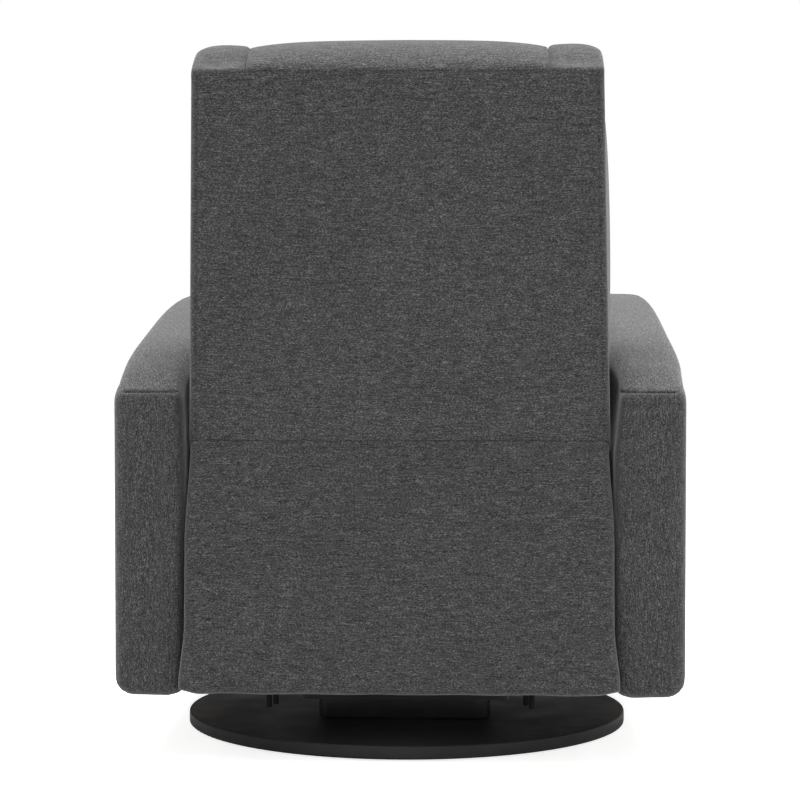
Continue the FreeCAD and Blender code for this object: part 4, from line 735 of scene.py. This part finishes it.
def rear_panel():
    """The lower rear panel: drawn in at its lip and flaring out below to a turned-under hem."""
    rows = [panel_row(height, inward) for height, inward in panel_profile()]
    piece = backed(skin("rear_panel_cover", rows), PANEL_THICKNESS)
    shape(piece, clear_of_reclined_back)
    # Painted shade: the panel's cloth is a darker copy of the back's.
    dress(piece, "rear_panel", SHADED)


def panel_profile():
    """The rear panel's heights from lip to hem, each with how far the cloth is turned in there."""
    profile = []
    for turn in spread(math.pi / 2, 0, LIP_ROWS)[:-1]:
        profile.append((PANEL_LIP - LIP_ROUND * (1 - math.sin(turn)), LIP_ROUND * (1 - math.cos(turn))))
    for height in spread(PANEL_LIP - LIP_ROUND, PANEL_BOTTOM + HEM_ROUND, PANEL_ROWS):
        profile.append((height, 0.0))
    for turn in spread(0, math.pi / 2, HEM_ROWS)[1:]:
        profile.append((PANEL_BOTTOM + HEM_ROUND * (1 - math.sin(turn)), HEM_ROUND * (1 - math.cos(turn))))
    return profile + [(PANEL_BOTTOM, HEM_ROUND + HEM_TURN)]


def panel_row(height, inward):
    """One row of the rear panel, at a height and turned in from its face."""
    share = (PANEL_LIP - height) / (PANEL_LIP - PANEL_BOTTOM)
    crease = ease((share - CREASE_START) / (1 - CREASE_START))
    flare = PANEL_FLARE * ease((share - FLARE_START) / (1 - FLARE_START))
    half = PANEL_HALF_HEAD + (PANEL_HALF_FOOT - PANEL_HALF_HEAD) * ease(share / PANEL_TAPER_SHARE) + flare
    face = PANEL_HEAD + (PANEL_FOOT - PANEL_HEAD) * share - inward
    face -= LIP_DRAW * ease(1 - (PANEL_LIP - height) / LIP_REACH)
    row = []
    for x, below in across(half, PANEL_EDGE_ROUND, PANEL_SIDE_RETURN - flare, PANEL_COLUMNS):
        edge = half - abs(x)
        hollow = PANEL_HOLLOW * math.sin(math.pi * share) * ease(edge / HOLLOW_FADE)
        waves = ripple((x, 3, height * 0.7), size=0.12, depth=0.0012)
        waves += ripple((x * 1.6, 7, height), size=0.045, depth=0.0022) * crease
        rise = CORNER_LIFT * ease(1 - edge / EDGE_FADE) + ripple((x, 11, 0), size=0.05, depth=0.0012)
        y = face - below - hollow + waves * ease(edge / EDGE_FADE)
        row.append(Vector((x, y, height + rise * crease)))
    return row


def clear_of_reclined_back(place, outward):
    """Keep the panel's lip behind the plane of the fully reclined outside back."""
    local = RECLINED @ place
    local.y = max(local.y, ROLL_DEPTH + LIP_CLEARANCE)
    return RECLINED.inverted() @ local if place.z > PANEL_LIP - LIP_BAND else place


def cushion(node, name, held, pressure, most, before=None, after=None):
    """A stuffed cushion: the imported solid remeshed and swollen, with its own shaping before and after."""
    piece = copy_of_solid(node, name)
    if before:
        shape(piece, before)
    remesh(piece, CUSHION_VOXEL)
    relax(piece)
    shape(piece, lambda place, outward: place + outward * RELAXED)
    inflate(piece, held, pressure, most)
    if after:
        shape(piece, after)
    smooth(piece, 60)
    return dress(piece, node, CROSSWISE)


def back_cushions():
    """The centre cushion and the two bolsters, which meet in a notch at the crest."""
    centre = cushion(
        "back_cushion", "back_centre", back_held, BACK_PRESSURE, CENTRE_SWELL, tucked_in, centre_crest
    )
    seam(centre, LEAN @ (UP * FRONT_SEAM_HEIGHT), LEAN.to_3x3() @ UP, lambda place: (UPRIGHT @ place).y < 0)
    mark(centre, crest_seams)
    for side in SIDES:
        node = f"back_bolster_{side}"
        bolster = cushion(
            node, f"{node}_cover", back_held, BACK_PRESSURE, BOLSTER_SWELL, tucked_in, bolster_crest
        )
        mark(bolster, crest_seams)


def back_held(place):
    """Where the back's cushions are held: at their rear, their foot and their crest."""
    local = UPRIGHT @ place
    at_rear = local.y > CUSHION_REAR - CUSHION_HELD_REAR
    return at_rear or local.z < CUSHION_HELD_FOOT or local.z > BACK_SEAM_HEIGHT - CUSHION_HELD_CREST


def tucked_in(place, outward):
    """The crest's rear edge goes down behind the outside back."""
    local = UPRIGHT @ place
    if local.y > CUSHION_REAR + CREST_EDGE_DEPTH and local.z < BACK_SEAM_HEIGHT + CREST_EDGE_RISE:
        local.z -= CREST_TUCK
    return LEAN @ local


def centre_crest(place, outward):
    """The centre cushion's crest is highest in its middle."""
    local = UPRIGHT @ place
    lift = CENTRE_LIFT - CENTRE_DROP * ease(abs(local.x) / BOLSTER_INNER) ** 2
    local.z += lift * ease((local.z - BACK_SEAM_HEIGHT) / CREST_FADE)
    return LEAN @ local


def bolster_crest(place, outward):
    """A bolster's crest sags between its edges and falls off towards the rear."""
    local = UPRIGHT @ place
    share = (abs(local.x) - BOLSTER_INNER) / (BACK_HALF_HEAD - BOLSTER_INNER)
    fall = BOLSTER_SAG * math.sin(math.pi * min(max(share, 0), 1))
    fall += BOLSTER_FALL * ease((local.y - BOLSTER_FALL_FROM) / BOLSTER_FALL_OVER)
    local.z -= fall * ease((local.z - BACK_SEAM_HEIGHT) / CREST_FADE)
    return LEAN @ local


def crest_seams(place):
    """How much a place belongs to the top seam or to a notch between the cushions."""
    local = UPRIGHT @ place
    if local.z <= BACK_SEAM_HEIGHT + NOTCH_START:
        return top_seam(place)
    notch = NOTCH_STRENGTH * bell(abs(local.x) - BOLSTER_INNER, NOTCH_WIDTH)
    return max(top_seam(place), notch)


def seat_pad():
    """The seat cushion, crowned, with a seam along its nose."""

    def held(place):
        beside = abs(place.x) > SEAT_HELD_BEYOND
        return place.z < SEAT_HELD_BELOW or beside or place.y > SEAT_HELD_BEHIND

    pad = cushion("seat_cushion", "seat_pad", held, SEAT_PRESSURE, SEAT_SWELL)
    seam(pad, UP * SEAT_SEAM_HEIGHT, UP, lambda place: place.y < SEAT_NOSE)


def footrest_cover():
    """The footrest's padded front, with a seam across it."""

    def held(place):
        return place.y > FOOTREST_HELD_BEHIND

    pad = cushion("footrest_pad", "footrest_cover", held, SEAT_PRESSURE, FOOTREST_SWELL)
    seam(pad, UP * FOOTREST_SEAM_HEIGHT, UP, lambda place: place.y < FOOTREST_FACE)


def footrest_wrap():
    """The footrest's cloth, turned over its board's edges and a little way under it."""
    low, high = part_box("footrest_board")
    cloth = Vector((1, 1, 1)) * WRAP_CLOTH
    wrap = block("footrest_wrap", low - cloth, high + cloth)
    bpy.ops.mesh.select_mode(type="FACE")
    bpy.ops.mesh.select_all(action="DESELECT")
    select_facing(wrap, Vector((0, 1, 0)))
    bpy.ops.mesh.inset(thickness=WRAP_TURN)
    bpy.ops.mesh.delete(type="FACE")
    select_facing(wrap, Vector((0, -1, 0)))
    bpy.ops.mesh.delete(type="FACE")
    bare_hands()
    trim(backed(wrap, WRAP_CLOTH * 0.8), BODY_OF["footrest_board"])


def select_facing(piece, direction):
    """In edit mode, select the faces of a piece that face a direction."""
    bm = bmesh.from_edit_mesh(piece.data)
    for face in bm.faces:
        face.select = face.normal.dot(direction) > 0.9
    bmesh.update_edit_mesh(piece.data)


def seat_decking():
    """Cloth stretched over the rail behind the seat cushion, below the backrest."""
    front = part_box("seat_cushion")[1].y + DECKING_GAP
    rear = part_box("panel_batten")[0].y - DECKING_GAP
    rows = []
    for y in spread(front, rear, DECKING_ROWS):
        row = []
        for x in spread(DECKING_HALF, -DECKING_HALF, DECKING_COLUMNS):
            row.append(Vector((x, y, DECKING_HEIGHT + ripple((x, y, 0), size=0.06, depth=0.0006))))
        rows.append(row)
    trim(backed(skin("seat_decking", rows), DECKING_CLOTH), "seat_frame")


def back_skirt():
    """Cloth from the decking up to the backrest's underside, which closes the gap when the back reclines."""
    low = DECKING_HEIGHT
    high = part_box("back_cushion")[0].z + SKIRT_TUCK
    rows = []
    for z in spread(high, low, SKIRT_ROWS):
        face = SKIRT_PLACE - SKIRT_SLACK * math.sin(math.pi * (z - low) / (high - low))
        row = []
        for x in spread(DECKING_HALF, -DECKING_HALF, DECKING_COLUMNS):
            row.append(Vector((x, face + ripple((x, 5, z), size=0.05, depth=0.003), z)))
        rows.append(row)
    skirt = give(backed(skin("back_skirt", rows), DECKING_CLOTH), CROSSWISE)
    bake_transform(skirt)


def arms():
    """The arms: soft all round, with one short seam across the rear where the top panel ends."""
    for side in SIDES:
        node = f"arm_pad_{side}"
        arm = copy_of_solid(node, f"arm_{side}_cover")
        remesh(arm, ARM_VOXEL)
        relax(arm)
        relax(arm, 10, lambda place: place.y < ARM_CRISP_BEHIND or abs(place.x) < ARM_CRISP_BEYOND)
        shape(arm, stuffed_arm)
        seam(arm, UP * ARM_TOP_SEAM, UP, on_arm_brow, width=0.0019, depth=0.0022)
        smooth(arm, 60)
        # Painted shade in the gap beside the backrest, kept in the "seam" attribute.
        mark(arm, gap_shade)
        # The arms' cloth carries painted shade overall and painted light on its tops.
        dress(arm, node, LENGTHWISE)


def side_of(place):
    """1 on the chair's left and -1 on its right."""
    return 1 if place.x > 0 else -1


def stuffed_arm(place, outward):
    """Stuff an arm where it is fullest, draw it off the backrest, round its corners and lift its foot."""
    fullness = ARM_FULLNESS * bell(place.y - ARM_FULLEST, ARM_FULL_LENGTH)
    fullness *= ease((place.z - ARM_TOP_SEAM) / ARM_TOP_FADE)
    place = place + outward * (RELAXED + fullness)
    side = side_of(place)
    from_outer, up = round_corner(ARM_OUTER - abs(place.x), place.z - ARM_LOW, ARM_FOOT_ROUND_OUTER)
    from_inner, up = round_corner(ARM_WIDTH - from_outer, up, ARM_FOOT_ROUND_INNER)
    draw = drawn_off(place)
    from_inner = draw + from_inner * (1 - draw / ARM_WIDTH)
    from_inner, from_rear = round_corner(from_inner, ARM_REAR - place.y, ARM_REAR_ROUND[side])
    up += ARM_LIFT * (1 - ease(up / ARM_LIFT_FADE))
    return Vector((side * (ARM_INNER + from_inner), ARM_REAR - from_rear, ARM_LOW + up))


def drawn_off(place):
    """How far an arm's inner wall is drawn off the backrest."""
    reach = ease((place.y - DRAW_FROM) / DRAW_FADE) * ease((place.z - DRAW_ABOVE) / DRAW_FADE)
    return ARM_DRAW[side_of(place)] * reach


def gap_shade(place):
    """Painted shade down in the gap beside the backrest, paling to the front, the top and the rear face."""
    side = side_of(place)
    off_wall = abs(place.x) - ARM_INNER - drawn_off(place)
    below_top = GAP_TOP + GAP_TOP_SLOPE * (ARM_REAR - place.y) - place.z
    depth = ease((place.y - GAP_FROM) / GAP_FADE) * ease(0.5 + below_top / GAP_TOP_FADE)
    return GAP_SHADE[side] * ease(1 - off_wall / (ARM_REAR_ROUND[side] + GAP_WALL)) * depth


def on_arm_brow(place):
    """Where the top panel's rear seam runs."""
    inside = ARM_INNER + ARM_BROW_INSET < abs(place.x) < ARM_OUTER - ARM_BROW_OUTSET
    return place.y > ARM_BROW_BEHIND and inside


def front_apron():
    """A padded strip of cloth over the deck board's front edge, up to the seat cushion."""
    low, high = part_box("deck_board")
    half = ARM_INNER - APRON_SIDE_GAP
    front = low.y - APRON_DEPTH * 3 / 4
    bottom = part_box("footrest_pad")[1].z + APRON_GAP
    corner = Vector((half, front + APRON_DEPTH, high.z + APRON_LAP))
    strip = block("front_apron", Vector((-half, front, bottom)), corner)
    bpy.ops.mesh.bevel(offset=APRON_ROUND, segments=3, affect="EDGES")
    bare_hands()
    trim(smooth(strip), "seat_frame")


def rocker_coils():
    """The rocker springs, shaded smooth, in spring steel."""
    coils = smooth(copy_of_solid("rocker_springs", "rocker_coils"), 50)
    give(coils, FINISHES["spring_steel"])
    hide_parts("rocker_springs")
    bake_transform(coils)


# Stage, light and camera.


def white_floor():
    """A pale floor that keeps the shadow and fades into the white backdrop."""
    bare_hands()
    bpy.ops.mesh.primitive_plane_add(size=1, location=(0, 0, 0))
    floor = bpy.context.object
    floor.name = "studio_floor"
    edit(floor)
    bpy.ops.transform.resize(value=(FLOOR_SIZE, FLOOR_SIZE, 1))
    bare_hands()
    give(floor, glowing_white())


def glowing_white():
    """Matt white that glows a little, for the camera only."""
    finish, nodes, links, shader = new_finish("studio_white")
    shader.inputs["Base Color"].default_value = (FLOOR_TONE, FLOOR_TONE, FLOOR_TONE, 1)
    shader.inputs["Roughness"].default_value = 0.9
    shader.inputs["Specular IOR Level"].default_value = 0.0
    shader.inputs["Emission Color"].default_value = (1, 1, 1, 1)
    path = nodes.new("ShaderNodeLightPath")
    glow = nodes.new("ShaderNodeMath")
    glow.operation = "MULTIPLY"
    glow.inputs[1].default_value = FLOOR_GLOW
    links.new(path.outputs["Is Camera Ray"], glow.inputs[0])
    links.new(glow.outputs["Value"], shader.inputs["Emission Strength"])
    return finish


def white_surround():
    """An even pale surround that the camera sees as white."""
    world = bpy.data.worlds.new("studio_surround")
    bpy.context.scene.world = world
    world.use_nodes = True
    nodes, links = world.node_tree.nodes, world.node_tree.links
    nodes.clear()
    output = nodes.new("ShaderNodeOutputWorld")
    path = nodes.new("ShaderNodeLightPath")
    lighting = nodes.new("ShaderNodeBackground")
    lighting.inputs["Strength"].default_value = SURROUND_LEVEL
    seen = nodes.new("ShaderNodeBackground")
    seen.inputs["Strength"].default_value = 1.0
    for node in (lighting, seen):
        node.inputs["Color"].default_value = (1, 1, 1, 1)
    choice = nodes.new("ShaderNodeMixShader")
    links.new(path.outputs["Is Camera Ray"], choice.inputs["Fac"])
    links.new(lighting.outputs["Background"], choice.inputs[1])
    links.new(seen.outputs["Background"], choice.inputs[2])
    links.new(choice.outputs["Shader"], output.inputs["Surface"])


def look_at(thing, place, target):
    """Turn a lamp or a camera at a place towards a target."""
    thing.rotation_euler = (Vector(target) - Vector(place)).to_track_quat("-Z", "Y").to_euler()


def soft_box(name, place, target, size, power):
    """A large soft lamp that looks at a target, with its power in watts."""
    bare_hands()
    bpy.ops.object.light_add(type="AREA", location=place)
    lamp = bpy.context.object
    lamp.name = name
    lamp.data.shape = "RECTANGLE"
    lamp.data.size, lamp.data.size_y = size
    lamp.data.energy = power
    look_at(lamp, place, target)


def camera_behind():
    """The photograph's view: from behind at about three metres, a little high and to the chair's right."""
    bare_hands()
    bpy.ops.object.camera_add(location=CAMERA_PLACE)
    camera = bpy.context.object
    camera.name = "camera_behind"
    camera.data.sensor_width = CAMERA_SENSOR
    camera.data.lens = CAMERA_LENS
    camera.data.dof.use_dof = False
    look_at(camera, CAMERA_PLACE, CAMERA_TARGET)
    bpy.context.scene.camera = camera


# The chair.
for entry in frame["record"]["subparts"]:
    give(frame["nodes"][entry["node"]], FINISHES[entry["material_slot"]])
give(frame["nodes"]["stop_bolts"], BLACKENED)
outside_back()
rear_panel()
back_cushions()
seat_pad()
footrest_cover()
footrest_wrap()
seat_decking()
back_skirt()
arms()
front_apron()
rocker_coils()

# The studio.
white_floor()
white_surround()
soft_box("top_softbox", place=(-0.1, 0.4, 4.4), target=(0, 0.1, 0.5), size=(4.4, 2.8), power=365)
soft_box("rear_fill", place=(-1.0, 3.2, 1.0), target=(0, 0.3, 0.5), size=(2.0, 1.6), power=9)
soft_box("left_strip", place=(2.6, 0.6, 1.0), target=(0.3, 0.1, 0.5), size=(1.2, 1.6), power=14)
soft_box("right_strip", place=(-2.6, 0.9, 1.0), target=(-0.3, 0.2, 0.5), size=(1.2, 1.6), power=16)
camera_behind()
bpy.context.scene.view_settings.view_transform = "Standard"
